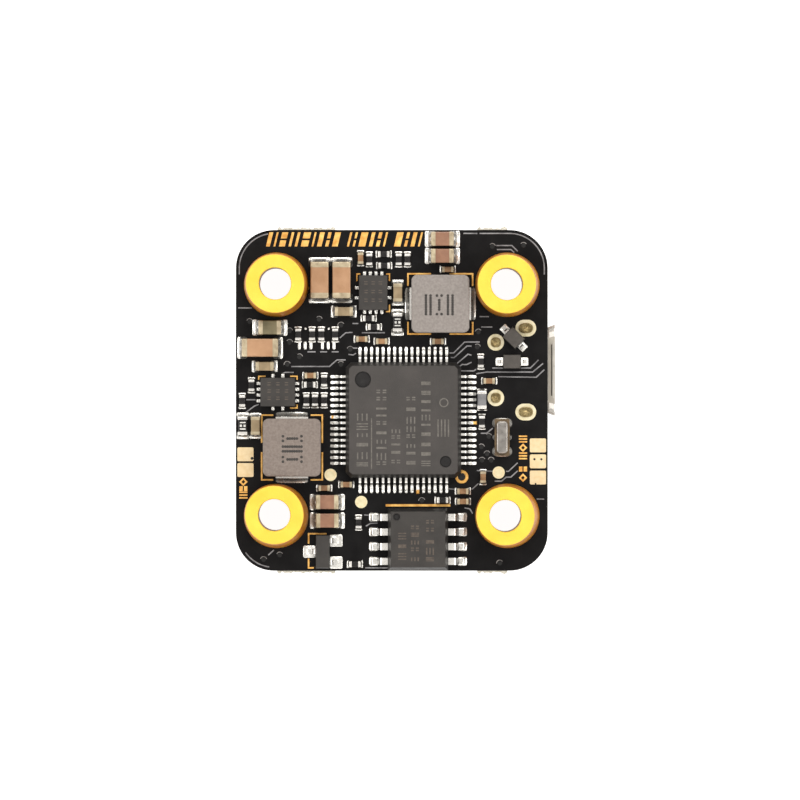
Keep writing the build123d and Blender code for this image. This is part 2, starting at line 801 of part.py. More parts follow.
def boot_button_plunger():
    """A round stem on a flange that stops against the inside of the cover."""
    cover_inside = BUTTON_BODY[2]
    radius, flange = BUTTON_FLANGE
    with BuildPart() as plunger:
        with Locations((0, 0, cover_inside - GAP - flange)):
            Cylinder(radius, flange, align=SEATED)
            Cylinder(BUTTON_STEM, flange + GAP + BUTTON_COVER + BUTTON_PROUD, align=SEATED)
        fillet(plunger.faces().sort_by(Axis.Z)[-1].edges(), 0.12)
    return plunger


# ---- motion sensor and display chip on the underside ----
GYRO_PLACE = [under(0.5, 0.6)]
GYRO_BODY = (2.5, 3.0, 0.85)
GYRO_PAD = (0.42, 0.25, 0.12)  # length, width and height
GYRO_PITCH = 0.5
GYRO_DIMPLE = (-0.85, 1.1, 0.15)  # x, y and radius
SHALLOW_DIMPLE = 0.06
OSD_PLACE = [under(-1.6, 9.3, 90)]
OSD_BODY = (4.4, 9.7, 1.0)
OSD_STANDOFF = 0.1
OSD_PITCH = 0.65
OSD_LEAD = (0.95, 0.25, 0.5, 0.13, 0.25)
OSD_DRAFT = 10
OSD_LEADS = 14  # on each side
OSD_DIMPLE = (-1.4, 4.0, 0.35)  # x, y and radius


def gyro_package():
    standoff = GYRO_PAD[2]
    x, y, radius = GYRO_DIMPLE
    with BuildPart() as package:
        with Locations((0, 0, standoff)):
            Box(*GYRO_BODY, align=SEATED)
        fillet(package.edges().filter_by(Axis.Z), 0.08)
        with Locations((x, y, standoff + GYRO_BODY[2])):
            Hole(radius, depth=SHALLOW_DIMPLE)
    return package


def gyro_pads():
    """Fourteen pads under the edges of the motion sensor."""
    length, width, height = GYRO_PAD
    tucked = length / 2 - 0.11  # how far a pad's centre lies inside the edge
    with BuildPart() as pads:
        for side in (-1, 1):
            with Locations((side * (GYRO_BODY[0] / 2 - tucked), 0)):
                with GridLocations(0, GYRO_PITCH, 1, 4):
                    Box(length, width, height, align=SEATED)
            with Locations((0, side * (GYRO_BODY[1] / 2 - tucked))):
                with GridLocations(GYRO_PITCH, 0, 3, 1):
                    Box(width, length, height, align=SEATED)
    return pads


def osd_chip_package():
    body = moulded_package(*OSD_BODY, OSD_STANDOFF, OSD_DRAFT)
    x, y, radius = OSD_DIMPLE
    with BuildPart() as package:
        add(body.part)
        with Locations((x, y, OSD_STANDOFF + OSD_BODY[2])):
            Hole(radius, depth=SHALLOW_DIMPLE)
    return package


def osd_chip_leads():
    lead = gull_wing(*OSD_LEAD, OSD_STANDOFF + OSD_BODY[2] / 2)
    return copies(lead, lead_places(OSD_BODY[0] / 2, OSD_PITCH, OSD_LEADS))


# ---- status lights on the underside ----
LIGHT_PLACES = [under(-7.6, 0.6, 90), under(-6.2, 0.6, 90)]
LIGHT_BASE = (1.6, 0.8, 0.3, 0.35)  # length, width, height and the length of an end cap
LIGHT_STEM = (0.9, 0.76, 0.3)
LIGHT_LENS = (1.1, 0.78, 0.3)


def status_light_bases():
    return chip_ends(*LIGHT_BASE)


def status_light_lenses():
    length, width, height = LIGHT_LENS
    with BuildPart() as lens:
        Box(*LIGHT_STEM, align=SEATED)
        with BuildSketch(Plane.XY.offset(LIGHT_STEM[2])):
            Rectangle(length, width)
        extrude(amount=height, taper=10)
    return lens


def main():
    os.makedirs("parts", exist_ok=True)

    write(circuit_board(), "circuit_board")
    write(plated_holes(), "plated_holes")
    for name, (x, y) in GROMMETS.items():
        write(copies(grommet(), [Location((x, y, 0))]), name)

    write(processor_package(), "processor_package")
    write(processor_leads(), "processor_leads")
    write(flash_memory_package(), "flash_memory_package")
    write(flash_memory_leads(), "flash_memory_leads")

    for side, place in INDUCTORS.items():
        write(copies(inductor_core(), [place]), f"{side}_inductor_core")
        write(copies(inductor_terminals(), [place]), f"{side}_inductor_terminals")
    for side, place in CONVERTERS.items():
        write(copies(converter_package(), [place]), f"{side}_converter_package")
        write(copies(converter_pads(), [place]), f"{side}_converter_pads")

    write_chips("large_capacitor", LARGE_CAPACITORS, *LARGE_CAPACITOR)
    write_chips("medium_capacitor", MEDIUM_CAPACITORS, *MEDIUM_CAPACITOR)
    write_chips("small_capacitor", SMALL_CAPACITORS, *SMALL_CAPACITOR)
    write_chips("small_resistor", SMALL_RESISTORS, *SMALL_RESISTOR)
    write_chips("tiny_capacitor", TINY_CAPACITORS, *TINY_CAPACITOR)
    write_chips("tiny_resistor", TINY_RESISTORS, *TINY_RESISTOR)
    write_chips("ferrite_bead", FERRITE_BEADS, *FERRITE_BEAD)

    write(copies(diode_package(), DIODES), "diode_packages")
    write(copies(diode_leads(), DIODES), "diode_leads")
    write(copies(transistor_package(), TRANSISTORS), "transistor_packages")
    write(copies(transistor_leads(), TRANSISTORS), "transistor_leads")

    write(copies(can_base(RESONATOR_CAN[0]), RESONATOR_PLACE), "resonator_base")
    write(copies(can_lid(*RESONATOR_CAN), RESONATOR_PLACE), "resonator_lid")
    write(copies(can_base(CRYSTAL_CAN[0]), CRYSTAL_PLACE), "crystal_base")
    write(copies(can_lid(*CRYSTAL_CAN), CRYSTAL_PLACE), "crystal_lid")
    write(copies(can_base(BAROMETER_CAN[0]), BAROMETER_PLACE), "barometer_base")
    write(copies(can_lid(*BAROMETER_CAN, BAROMETER_VENT), BAROMETER_PLACE), "barometer_lid")

    write(copies(pad(*JUMPER_PAD), JUMPER_PADS), "solder_jumper_pads")
    write(copies(test_pad(), TEST_PADS), "test_pads")
    write(copies(pad(*WIRE_PAD), WIRE_PADS), "wire_pads")

    usb_pins = usb_contacts()
    write(copies(usb_shell(), USB_PLACE), "usb_shell")
    write(copies(usb_pins, USB_PLACE), "usb_contacts")
    write(copies(usb_insulator(usb_pins), USB_PLACE), "usb_insulator")

    esc_pins = esc_connector_contacts()
    write(copies(esc_pins, ESC_PLACE), "esc_connector_contacts")
    write(copies(esc_connector_housing(esc_pins), ESC_PLACE), "esc_connector_housing")
    write(copies(esc_connector_tabs(), ESC_PLACE), "esc_connector_tabs")

    write(copies(boot_button_base(), BUTTON_PLACE), "boot_button_base")
    write(copies(boot_button_frame(), BUTTON_PLACE), "boot_button_frame")
    write(copies(boot_button_plunger(), BUTTON_PLACE), "boot_button_plunger")

    write(copies(gyro_package(), GYRO_PLACE), "gyro_package")
    write(copies(gyro_pads(), GYRO_PLACE), "gyro_pads")
    write(copies(osd_chip_package(), OSD_PLACE), "osd_chip_package")
    write(copies(osd_chip_leads(), OSD_PLACE), "osd_chip_leads")

    write(copies(status_light_bases(), LIGHT_PLACES), "status_light_bases")
    write(copies(status_light_lenses(), LIGHT_PLACES), "status_light_lenses")


main()
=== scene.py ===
import math
import random

import bpy
import bmesh
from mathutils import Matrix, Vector


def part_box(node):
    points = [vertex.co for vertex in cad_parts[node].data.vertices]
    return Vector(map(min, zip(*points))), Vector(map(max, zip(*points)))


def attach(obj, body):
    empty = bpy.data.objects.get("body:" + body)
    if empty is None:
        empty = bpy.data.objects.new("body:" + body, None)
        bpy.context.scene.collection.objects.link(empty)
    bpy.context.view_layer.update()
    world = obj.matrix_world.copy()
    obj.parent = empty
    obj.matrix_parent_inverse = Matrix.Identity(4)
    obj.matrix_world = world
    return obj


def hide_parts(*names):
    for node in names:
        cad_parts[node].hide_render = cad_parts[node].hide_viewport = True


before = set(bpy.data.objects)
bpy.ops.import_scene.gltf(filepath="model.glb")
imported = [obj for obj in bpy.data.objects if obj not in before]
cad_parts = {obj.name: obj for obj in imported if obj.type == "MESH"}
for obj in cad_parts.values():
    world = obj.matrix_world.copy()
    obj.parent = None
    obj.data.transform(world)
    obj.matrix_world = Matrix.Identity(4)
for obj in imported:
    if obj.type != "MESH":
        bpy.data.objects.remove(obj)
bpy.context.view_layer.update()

# The looks of a small flight controller board. Lengths are in millimetres up to the point
# where a mesh is made, and MM turns them into metres.

MM = 0.001
BOARD_BODY = "board_assembly"  # every added piece rides on it
random.seed(7)


def limits(node):
    """A CAD node's lowest and highest corner, in millimetres."""
    low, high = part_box(node)
    return [c / MM for c in low], [c / MM for c in high]


BOARD_LOW, BOARD_HIGH = limits("circuit_board")
FACE = {1: BOARD_HIGH[2], -1: BOARD_LOW[2]}  # height of the board's upper and lower face
FLOOR = min(limits(n)[0][2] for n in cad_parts)
EDGE_Y = 14.76  # just outside the board's straight front and rear edges


# ---- materials ----
def tone(red, green, blue):
    """A colour in display values, 0 to 255, as the linear colour that shaders take."""
    linear = [((c / 255 + 0.055) / 1.055) ** 2.4 for c in (red, green, blue)]
    return (*linear, 1.0)


class Nodes:
    """A new material's node tree. What a node takes in is a number, a colour or another's output."""

    def __init__(self, name):
        self.material = bpy.data.materials.new(name)
        self.material.use_nodes = True
        self.tree = self.material.node_tree
        self.shader = self.tree.nodes["Principled BSDF"]
        source = self.add("ShaderNodeTexCoord", {})
        self.place = source.outputs["Object"]
        self.normal = source.outputs["Normal"]

    def feed(self, node, inputs):
        for name, value in inputs.items():
            if isinstance(value, bpy.types.NodeSocket):
                self.tree.links.new(value, node.inputs[name])
            else:
                node.inputs[name].default_value = value

    def add(self, kind, inputs, **settings):
        node = self.tree.nodes.new(kind)
        for key, value in settings.items():
            setattr(node, key, value)
        self.feed(node, inputs)
        return node

    def shade(self, **inputs):
        """Set the shader's own sockets, whose names are given with underscores for spaces."""
        self.feed(self.shader, {name.replace("_", " "): value for name, value in inputs.items()})

    def noise(self, scale, detail=4.0, stretch=None):
        """Noise whose features are about 1 / scale metres wide."""
        place = self.place
        if stretch:
            place = self.add("ShaderNodeMapping", {"Vector": place, "Scale": stretch}).outputs["Vector"]
        inputs = {"Vector": place, "Scale": scale, "Detail": detail}
        return self.add("ShaderNodeTexNoise", inputs).outputs["Fac"]

    def ramp(self, value, *stops):
        """A colour ramp with (place, colour) stops."""
        node = self.add("ShaderNodeValToRGB", {"Fac": value})
        points = node.color_ramp.elements
        while len(points) < len(stops):
            points.new(0.5)
        for point, (place, colour) in zip(points, stops):
            point.position = place
            point.color = colour
        return node.outputs["Color"]

    def remap(self, value, start, end, low=0.0, high=1.0):
        """A value between start and end spread over the range low to high."""
        inputs = {"Value": value, "From Min": start, "From Max": end, "To Min": low, "To Max": high}
        return self.add("ShaderNodeMapRange", inputs).outputs["Result"]

    def spread(self, value, low, high):
        """Noise, which lies mostly between 0.3 and 0.7, spread over the range low to high."""
        return self.remap(value, 0.3, 0.7, low, high)

    def bump(self, value, depth, **under):
        """Relief of a given depth in millimetres. Normal is the relief that it lies on."""
        inputs = {"Height": value, "Distance": depth * MM, **under}
        return self.add("ShaderNodeBump", inputs).outputs["Normal"]

    def test(self, operation, value, other=0.0):
        """A maths node on one or two values."""
        return self.add("ShaderNodeMath", {0: value, 1: other}, operation=operation).outputs[0]

    def flatness(self, start, end):
        """0 on slopes and walls and 1 on faces that lie flat, with a blend between."""
        up = self.add("ShaderNodeSeparateXYZ", {"Vector": self.normal}).outputs["Z"]
        return self.remap(self.test("ABSOLUTE", up), start, end)

    def mix(self, factor, first, second):
        inputs = {"Factor": factor, "A": first, "B": second}
        return self.add("ShaderNodeMix", inputs, data_type="RGBA").outputs["Result"]


def surface(name, dark, light, scale, rough, depth, metallic=0.0, grain=8000, slopes=None, **sockets):
    """A mottled surface: its colour runs from dark to light, and fine grain gives it relief.

    slopes gives painted shade for its sloping faces: their darker colour, with the flatness at which it
    starts and ends.
    """
    n = Nodes(name)
    cloud = n.noise(scale)
    colour = n.ramp(cloud, (0.32, tone(*dark)), (0.68, tone(*light)))
    # painted shade: sloping faces take a darker copy of the mottled colour, in place of the shade that falls
    # on them
    if slopes:
        slope_shade, start, end = slopes
        bright = tone(*slope_shade)
        deep = (*(c * 0.8 for c in bright[:3]), 1.0)
        colour = n.mix(n.flatness(start, end), n.ramp(cloud, (0.32, deep), (0.68, bright)), colour)
    roughness = n.spread(n.noise(scale * 2.3), *rough)
    n.shade(Base_Color=colour, Roughness=roughness, Metallic=metallic, **sockets)
    if depth:
        n.shade(Normal=n.bump(n.noise(grain, 3.0), depth))
    return n.material


def board_material():
    """Near-black solder mask on both faces, and bare glass laminate on the cut edges and stubs."""
    n = Nodes("board_laminate")
    mask = n.ramp(n.noise(220), (0.35, tone(7, 6, 7)), (0.65, tone(12, 11, 12)))
    layers = n.noise(1.0, 3.0, stretch=(900, 900, 9000))
    fibre = n.ramp(layers, (0.3, tone(92, 84, 70)), (0.5, tone(150, 142, 124)), (0.72, tone(206, 200, 184)))
    torn = n.ramp(n.noise(9000, 2.0), (0.3, tone(168, 164, 152)), (0.7, tone(212, 209, 200)))
    place = n.add("ShaderNodeSeparateXYZ", {"Vector": n.place})
    beyond = n.test("GREATER_THAN", n.test("ABSOLUTE", place.outputs["Y"]), EDGE_Y * MM)
    faces = n.mix(n.flatness(0.49, 0.51), fibre, mask)
    weave = n.bump(n.noise(1.0, 2.0, stretch=(1500, 1500, 1500)), 0.01)
    n.shade(Base_Color=n.mix(beyond, faces, torn), Roughness=n.spread(n.noise(900), 0.34, 0.5),
            Specular_IOR_Level=0.16, Normal=n.bump(n.noise(9000, 2.0), 0.003, Normal=weave))
    return n.material


def grommet_material():
    """Yellow silicone whose sloping sides are painted a deeper amber than its flat faces, as painted shade.
    """
    n = Nodes("silicone")
    face = n.ramp(n.noise(420), (0.3, tone(214, 178, 52)), (0.7, tone(222, 192, 66)))
    # painted shade: faces that lean away from the light take a darker amber
    side = n.ramp(n.noise(600), (0.35, tone(142, 86, 6)), (0.65, tone(164, 104, 12)))
    n.shade(Base_Color=n.mix(n.flatness(0.35, 0.95), side, face),
            Roughness=n.spread(n.noise(900), 0.4, 0.52), Subsurface_Weight=0.2,
            Subsurface_Scale=0.0006, Normal=n.bump(n.noise(5000, 3.0), 0.008))
    return n.material


# A finish is its dark and light colour in display values, the scale of its mottling, its range of
# roughness and the depth of its grain in millimetres, with what else surface() takes by name.
FINISHES = {
    "bare_fibre": ((178, 174, 164), (222, 219, 211), 6000, (0.6, 0.8), 0.02, {"grain": 9000}),
    # painted highlights: the light grey of trace and via relief stands in for the light caught along copper
    # edges under the mask
    "copper_relief_highlight": ((92, 91, 93), (138, 137, 139), 1500, (0.28, 0.42), 0.004, {}),
    # painted highlight: the lighter colour of the via arcs
    "via_rim_highlight": ((90, 88, 88), (146, 143, 141), 2500, (0.25, 0.4), 0.004, {}),
    # painted shade: the dark of hole mouths and of the socket's slit and cut-outs; the socket's dark seam
    # takes it too
    "hole_shade_and_seams": ((5, 5, 5), (14, 13, 13), 2500, (0.3, 0.45), 0, {}),
    "gold_print": ((186, 130, 50), (230, 182, 98), 1800, (0.45, 0.6), 0.006, {}),
    "gold_pad": ((212, 188, 144), (222, 202, 164), 2600, (0.32, 0.46), 0.004, {"metallic": 0.3}),
    "tinned_ring": ((196, 186, 150), (222, 213, 184), 1500, (0.3, 0.44), 0.006, {"metallic": 0.3}),
    "hole_solder": ((96, 80, 46), (150, 134, 94), 1500, (0.2, 0.36), 0.006,
        {"metallic": 0.7, "grain": 3500}),
    # solder, tin and end caps carry painted shade: their sloping faces take the darker slope colour
    "solder": ((222, 221, 216), (250, 249, 245), 1200, (0.18, 0.32), 0.0025,
        {"metallic": 0.7, "grain": 3000, "slopes": ((120, 117, 112), 0.35, 0.9)}),
    "tin": ((226, 224, 219), (250, 248, 244), 1500, (0.2, 0.34), 0.003,
        {"metallic": 0.7, "grain": 5000, "slopes": ((92, 90, 88), 0.55, 0.95)}),
    "end_cap": ((146, 132, 108), (190, 178, 150), 1700, (0.32, 0.5), 0.012,
        {"metallic": 0.3, "grain": 5200, "slopes": ((104, 90, 68), 0.4, 0.97)}),
    # the chip mouldings carry painted shade: their draft sides take a near-black slope colour
    "processor_moulding": ((45, 42, 40), (55, 51, 49), 500, (0.5, 0.62), 0.01,
        {"grain": 16000, "slopes": ((20, 18, 17), 0.6, 0.98)}),
    "chip_moulding": ((33, 30, 28), (43, 40, 37), 700, (0.48, 0.6), 0.01,
        {"grain": 15000, "slopes": ((20, 18, 17), 0.6, 0.98)}),
    "dimple": ((12, 11, 11), (22, 20, 20), 900, (0.3, 0.4), 0.002, {}),
    "laser_mark": ((74, 71, 67), (96, 92, 87), 4000, (0.6, 0.75), 0.006, {"grain": 20000}),
    "faint_mark": ((60, 52, 46), (80, 71, 63), 4000, (0.6, 0.75), 0.006, {"grain": 20000}),
    # painted shade: the diode's draft sides take a near-black slope colour
    "diode_moulding": ((50, 46, 42), (64, 60, 56), 1500, (0.48, 0.6), 0.01,
        {"grain": 15000, "slopes": ((26, 24, 22), 0.6, 0.98)}),
    "test_pad": ((206, 196, 156), (222, 212, 178), 2600, (0.32, 0.46), 0.004, {"metallic": 0.25}),
    "pressed_powder_brown": ((102, 92, 86), (118, 108, 101), 5200, (0.62, 0.8), 0.02, {"grain": 12000}),
    "pressed_powder": ((114, 108, 104), (130, 124, 120), 5200, (0.62, 0.8), 0.02, {"grain": 12000}),
    "inductor_mark": ((30, 27, 26), (50, 46, 43), 6000, (0.6, 0.75), 0.01, {"grain": 14000}),
    "ceramic_large": ((146, 110, 79), (164, 128, 97), 800, (0.34, 0.5), 0.01, {"grain": 7000}),
    "ceramic_medium": ((116, 82, 64), (138, 102, 80), 1000, (0.34, 0.5), 0.01, {"grain": 7000}),
    "ceramic_khaki": ((88, 82, 58), (112, 104, 78), 1000, (0.34, 0.5), 0.01, {"grain": 7000}),
    "ceramic_small": ((118, 102, 76), (144, 126, 98), 1200, (0.36, 0.5), 0.01, {"grain": 8000}),
    "ceramic_tiny": ((106, 76, 48), (142, 108, 74), 1500, (0.36, 0.5), 0.01, {"grain": 9000}),
    "resistor_glaze": ((14, 13, 14), (30, 28, 28), 1600, (0.2, 0.34), 0.004, {}),
    "print_white": ((176, 176, 172), (214, 214, 210), 3000, (0.5, 0.65), 0.004, {}),
    "ferrite": ((84, 84, 86), (112, 112, 114), 1500, (0.4, 0.55), 0.01, {}),
    "base_ceramic": ((58, 46, 32), (98, 80, 54), 1700, (0.4, 0.55), 0.01, {}),
    "plated_lid": ((134, 130, 126), (166, 162, 157), 1300, (0.24, 0.4), 0.006,
        {"metallic": 0.8, "grain": 3000}),
    "socket_steel": ((186, 183, 178), (202, 199, 193), 1200, (0.26, 0.42), 0.004,
        {"metallic": 0.35, "grain": 4000}),
    "socket_black": ((20, 20, 21), (36, 35, 36), 900, (0.45, 0.6), 0.01, {}),
    "connector_nylon": ((198, 191, 175), (209, 203, 188), 700, (0.42, 0.56), 0.006,
        {"Subsurface_Weight": 0.15, "Subsurface_Scale": 0.0004}),
    "button_plastic": ((26, 25, 26), (44, 42, 43), 1200, (0.4, 0.52), 0.01, {}),
    "lens_epoxy": ((206, 204, 184), (226, 224, 210), 1500, (0.12, 0.22), 0.004,
        {"Transmission_Weight": 0.35, "IOR": 1.5}),
}


def build_materials():
    """Every material, by its name."""
    materials = {"board_laminate": board_material(), "silicone": grommet_material()}
    for name, (*columns, more) in FINISHES.items():
        materials[name] = surface(name, *columns, **more)
    return materials


MATERIALS = build_materials()
# for each material, parts of the names of the CAD nodes that take it
NODE_MATERIALS = {
    "board_laminate": ["circuit_board"],
    "tinned_ring": ["plated_holes"],
    "processor_moulding": ["processor_package"],
    "chip_moulding": ["flash_memory_package", "converter_package", "transistor_packages",
        "gyro_package", "osd_chip_package"],
    "diode_moulding": ["diode_packages"],
    "pressed_powder": ["front_inductor_core"],
    "pressed_powder_brown": ["left_inductor_core"],
    "ceramic_large": ["large_capacitor_bodies"],
    "ceramic_medium": ["medium_capacitor_bodies"],
    "ceramic_small": ["small_capacitor_bodies"],
    "ceramic_tiny": ["tiny_capacitor_bodies"],
    "resistor_glaze": ["resistor_bodies"],
    "end_cap": ["capacitor_terminals"],
    "ferrite": ["ferrite_bead_bodies"],
    "base_ceramic": ["resonator_base", "crystal_base", "barometer_base"],
    "plated_lid": ["_lid", "boot_button_frame"],
    "gold_pad": ["_pads", "usb_contacts"],
    "test_pad": ["test_pads"],
    "tin": ["converter_pads"],
    "socket_steel": ["usb_shell"],
    "socket_black": ["usb_insulator", "boot_button_base"],
    "connector_nylon": ["esc_connector_housing"],
    "button_plastic": ["boot_button_plunger"],
    "lens_epoxy": ["light_lenses"],
    "silicone": ["grommet"],
}


def paint_cad_nodes():
    """Each CAD node takes the material of the longest key found in its name, or else tin."""
    materials = {key: material for material, keys in NODE_MATERIALS.items() for key in keys}
    for name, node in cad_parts.items():
        found = [key for key in materials if key in name]
        chosen = materials[max(found, key=len)] if found else "tin"
        node.data.materials.clear()
        node.data.materials.append(MATERIALS[chosen])


# ---- making pieces ----
class Mesh:
    """Vertices and faces in millimetres, gathered from closed shapes, that become one piece."""

    def __init__(self):
        self.points = []
        self.faces = []

    def add(self, points, faces):
        start = len(self.points)
        self.points += points
        self.faces += [[start + i for i in face] for face in faces]

    def data(self, name, material):
        """What was gathered as a Blender mesh of one material."""
        data = bpy.data.meshes.new(name)
        data.from_pydata([[c * MM for c in p] for p in self.points], [], self.faces)
        data.materials.append(material)
        return data

    def piece(self, name, material, smooth=30, replaces=()):
        """Turn what was gathered into an object that rides on the board.

        smooth is the angle in degrees from which an edge stays sharp.
        """
        data = self.data(name, MATERIALS[material])
        work = bmesh.new()
        work.from_mesh(data)
        bmesh.ops.recalc_face_normals(work, faces=work.faces)
        work.to_mesh(data)
        work.free()
        obj = bpy.data.objects.new(name, data)
        bpy.context.scene.collection.objects.link(obj)
        if smooth:
            data.shade_smooth()
            data.set_sharp_from_angle(angle=math.radians(smooth))
        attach(obj, BOARD_BODY)
        if replaces:
            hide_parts(*replaces)
        return obj


def band(a, b, count):
    """The faces between two closed loops of count vertices that start at a and b."""
    return [[a + k, a + (k + 1) % count, b + (k + 1) % count, b + k] for k in range(count)]


def turned_point(x, y, px, py, turn):
    """The point at px, py from x, y, after a turn about x, y by turn degrees."""
    c = math.cos(math.radians(turn))
    s = math.sin(math.radians(turn))
    return x + px * c - py * s, y + px * s + py * c


def prism(mesh, outline, low, high, inset=0.0):
    """A closed prism over a convex outline, whose top is drawn in a little by inset."""
    count = len(outline)
    cx = sum(p[0] for p in outline) / count
    cy = sum(p[1] for p in outline) / count
    top = []
    for x, y in outline:
        reach = math.hypot(x - cx, y - cy) or 1.0
        scale = max(0.0, 1 - inset / reach)
        top.append((cx + (x - cx) * scale, cy + (y - cy) * scale, high))
    points = [(x, y, low) for x, y in outline] + top
    faces = [list(range(count)), list(range(count, 2 * count))]
    mesh.add(points, faces + band(0, count, count))


def bar(mesh, x, y, width, height, low, rise, turn=0.0, slant=0.0):
    """A thin printed bar centred on x, y, leaning by slant and turned by turn degrees."""
    outline = []
    for sx, sy in ((-1, -1), (1, -1), (1, 1), (-1, 1)):
        px = sx * width / 2 + sy * slant * height / 2
        outline.append(turned_point(x, y, px, sy * height / 2, turn))
    prism(mesh, outline, low, low + rise, abs(rise) * 0.5)


def ribbon(mesh, points, width, low, rise):
    """A raised strip of constant width along a route, with mitred corners."""
    count = len(points)
    left = []
    right = []
    for i, (x, y) in enumerate(points):
        ahead = points[min(i + 1, count - 1)]
        back = points[max(i - 1, 0)]
        first = Vector((x - back[0], y - back[1]))
        second = Vector((ahead[0] - x, ahead[1] - y))
        first = (first if first.length else second).normalized()
        second = (second if second.length else first).normalized()
        along = (first + second).normalized()
        normal = Vector((-along.y, along.x))
        reach = width / 2 / max(0.5, normal.dot(Vector((-first.y, first.x))))
        left.append((x + normal.x * reach, y + normal.y * reach))
        right.append((x - normal.x * reach, y - normal.y * reach))
    verts = []
    for (lx, ly), (rx, ry) in zip(left, right):
        mx, my = (lx + rx) / 2, (ly + ry) / 2
        verts += [(lx, ly, low), (rx, ry, low)]
        verts += [(mx + (rx - mx) * 0.7, my + (ry - my) * 0.7, low + rise)]
        verts += [(mx + (lx - mx) * 0.7, my + (ly - my) * 0.7, low + rise)]
    faces = [[0, 1, 2, 3], [4 * count - 4, 4 * count - 3, 4 * count - 2, 4 * count - 1]]
    for i in range(count - 1):
        faces += band(4 * i, 4 * i + 4, 4)
    mesh.add(verts, faces)


def ring(mesh, x, y, inner, outer, low, rise, segments=28, start=0.0, sweep=360.0):
    """A raised ring, or an arc of one, with a rounded crown."""
    closed = sweep >= 360
    steps = segments if closed else segments + 1
    profile = [(inner, 0.0), (inner * 0.7 + outer * 0.3, 1.0), (inner * 0.3 + outer * 0.7, 1.0), (outer, 0.0)]
    verts = []
    for i in range(steps):
        angle = math.radians(start + sweep * i / segments)
        for radius, lift in profile:
            verts.append((x + radius * math.cos(angle), y + radius * math.sin(angle), low + lift * rise))
    faces = []
    for i in range(segments):
        faces += band(4 * i, 4 * ((i + 1) % steps), 4)
    if not closed:
        faces += [[0, 1, 2, 3], [4 * segments + k for k in range(4)]]
    mesh.add(verts, faces)


def disc(mesh, x, y, radius, low, rise, segments=28):
    """A flat raised disc. It is a ring whose hole is too small to see."""
    ring(mesh, x, y, 0.001, radius, low, rise, segments)


RINGS = (0.0, 0.25, 0.4, 0.5, 0.6, 0.68, 0.76, 0.83, 0.9, 0.96, 1.0)  # of points in a joint
RIPPLE = 0.06  # how uneven solder is, as a share of its height


def joint(mesh, centre, half, core, rise, side, turn=0.0, segments=24, lip=0.04, squareness=6.0, bulge=0.0):
    """A solder joint: a rounded pad whose surface climbs to the metal that stands on it.

    centre and half give the pad. core is the metal's footprint as (x, y, half x, half y)
    from the pad's centre. side is 1 on the upper face and -1 underneath. bulge is how much
    further the solder climbs out along the joint's middle than at its two sides.
    """
    low = FACE[side]
    reach = max(half[0] + abs(core[0]) - core[2], half[1] + abs(core[1]) - core[3], 0.05)
    verts = []
    for t in RINGS:
        for i in range(segments if t else 1):
            angle = 2 * math.pi * (i + 0.5) / segments
            cx, cy = math.cos(angle), math.sin(angle)
            edge = (abs(cx) ** squareness + abs(cy) ** squareness) ** (-1 / squareness)
            px = t * half[0] * cx * edge
            py = t * half[1] * cy * edge
            gap = math.hypot(
                max(0.0, abs(px - core[0]) - core[2]), max(0.0, abs(py - core[1]) - core[3]))
            across = py / half[1] if core[0] else px / half[0]
            lift = lip + rise * max(0.0, 1 - gap / (reach * (1 - bulge * across ** 2))) ** 2
            phase = 5 * px / half[0] + 3 * py / half[1] + centre[0] * 9 + centre[1] * 5
            lift *= 1 + RIPPLE * math.sin(phase)
            if t > 0.99:
                lift = 0.0
            elif t > 0.95:
                lift *= 0.75
            verts.append((*turned_point(*centre, px, py, turn), low + side * lift))
    faces = [[0, 1 + i, 1 + (i + 1) % segments] for i in range(segments)]
    for r in range(len(RINGS) - 2):
        a = 1 + r * segments
        faces += band(a, a + segments, segments)
    last = 1 + (len(RINGS) - 2) * segments
    faces.append([last + i for i in range(segments)])
    mesh.add(verts, faces)


def solids(node):
    """The box of every separate solid in a CAD node, in millimetres, in a steady order."""
    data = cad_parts[node].data
    parent = {}

    def root(key):
        while parent[key] != key:
            parent[key] = parent[parent[key]]
            key = parent[key]
        return key

    keys = [tuple(round(c / MM, 4) for c in v.co) for v in data.vertices]
    for key in keys:
        parent.setdefault(key, key)
    for polygon in data.polygons:
        first = root(keys[polygon.vertices[0]])
        for i in polygon.vertices[1:]:
            parent[root(keys[i])] = first
    groups = {}
    for key in parent:
        groups.setdefault(root(key), []).append(key)
    boxes = []
    for members in groups.values():
        low = [min(m[k] for m in members) for k in range(3)]
        high = [max(m[k] for m in members) for k in range(3)]
        boxes.append((low, high))
    return sorted(boxes)


def middle(box):
    return [(a + b) / 2 for a, b in zip(*box)]


def side_of(box):
    """1 for a piece on the upper face of the board, -1 for one underneath."""
    return 1 if middle(box)[2] > (FACE[1] + FACE[-1]) / 2 else -1


# ---- solder ----
# For each size of chip: how far its solder reaches out and to each side, and how high it
# climbs, as a share of the end cap's height.
CHIP_SOLDER = {
    "large_capacitor": (0.38, 0.14, 0.36),
    "medium_capacitor": (0.52, 0.08, 0.36),
    "small_capacitor": (0.32, 0.12, 0.4),
    "small_resistor": (0.36, 0.14, 0.7),
    "tiny_capacitor": (0.2, 0.07, 0.55),
    "tiny_resistor": (0.2, 0.07, 0.7),
    "ferrite_bead": (0.15, 0.05, 0.6),
}
# For each row of leads: the length of a foot, how far its solder reaches out and to each
# side, and how high it climbs.
LEAD_SOLDER = {
    "front_converter_pads": (0.3, 0.08, 0.03, 0.18),
    "left_converter_pads": (0.3, 0.08, 0.03, 0.18),
    "processor_leads": (0.42, 0.34, 0.035, 0.13),
    "flash_memory_leads": (0.56, 0.28, 0.12, 0.22),
    "osd_chip_leads": (0.5, 0.3, 0.05, 0.12),
}


def turned(level, along, across):
    """Lengths along and across a lead as lengths in x and y."""
    return (along, across) if level else (across, along)


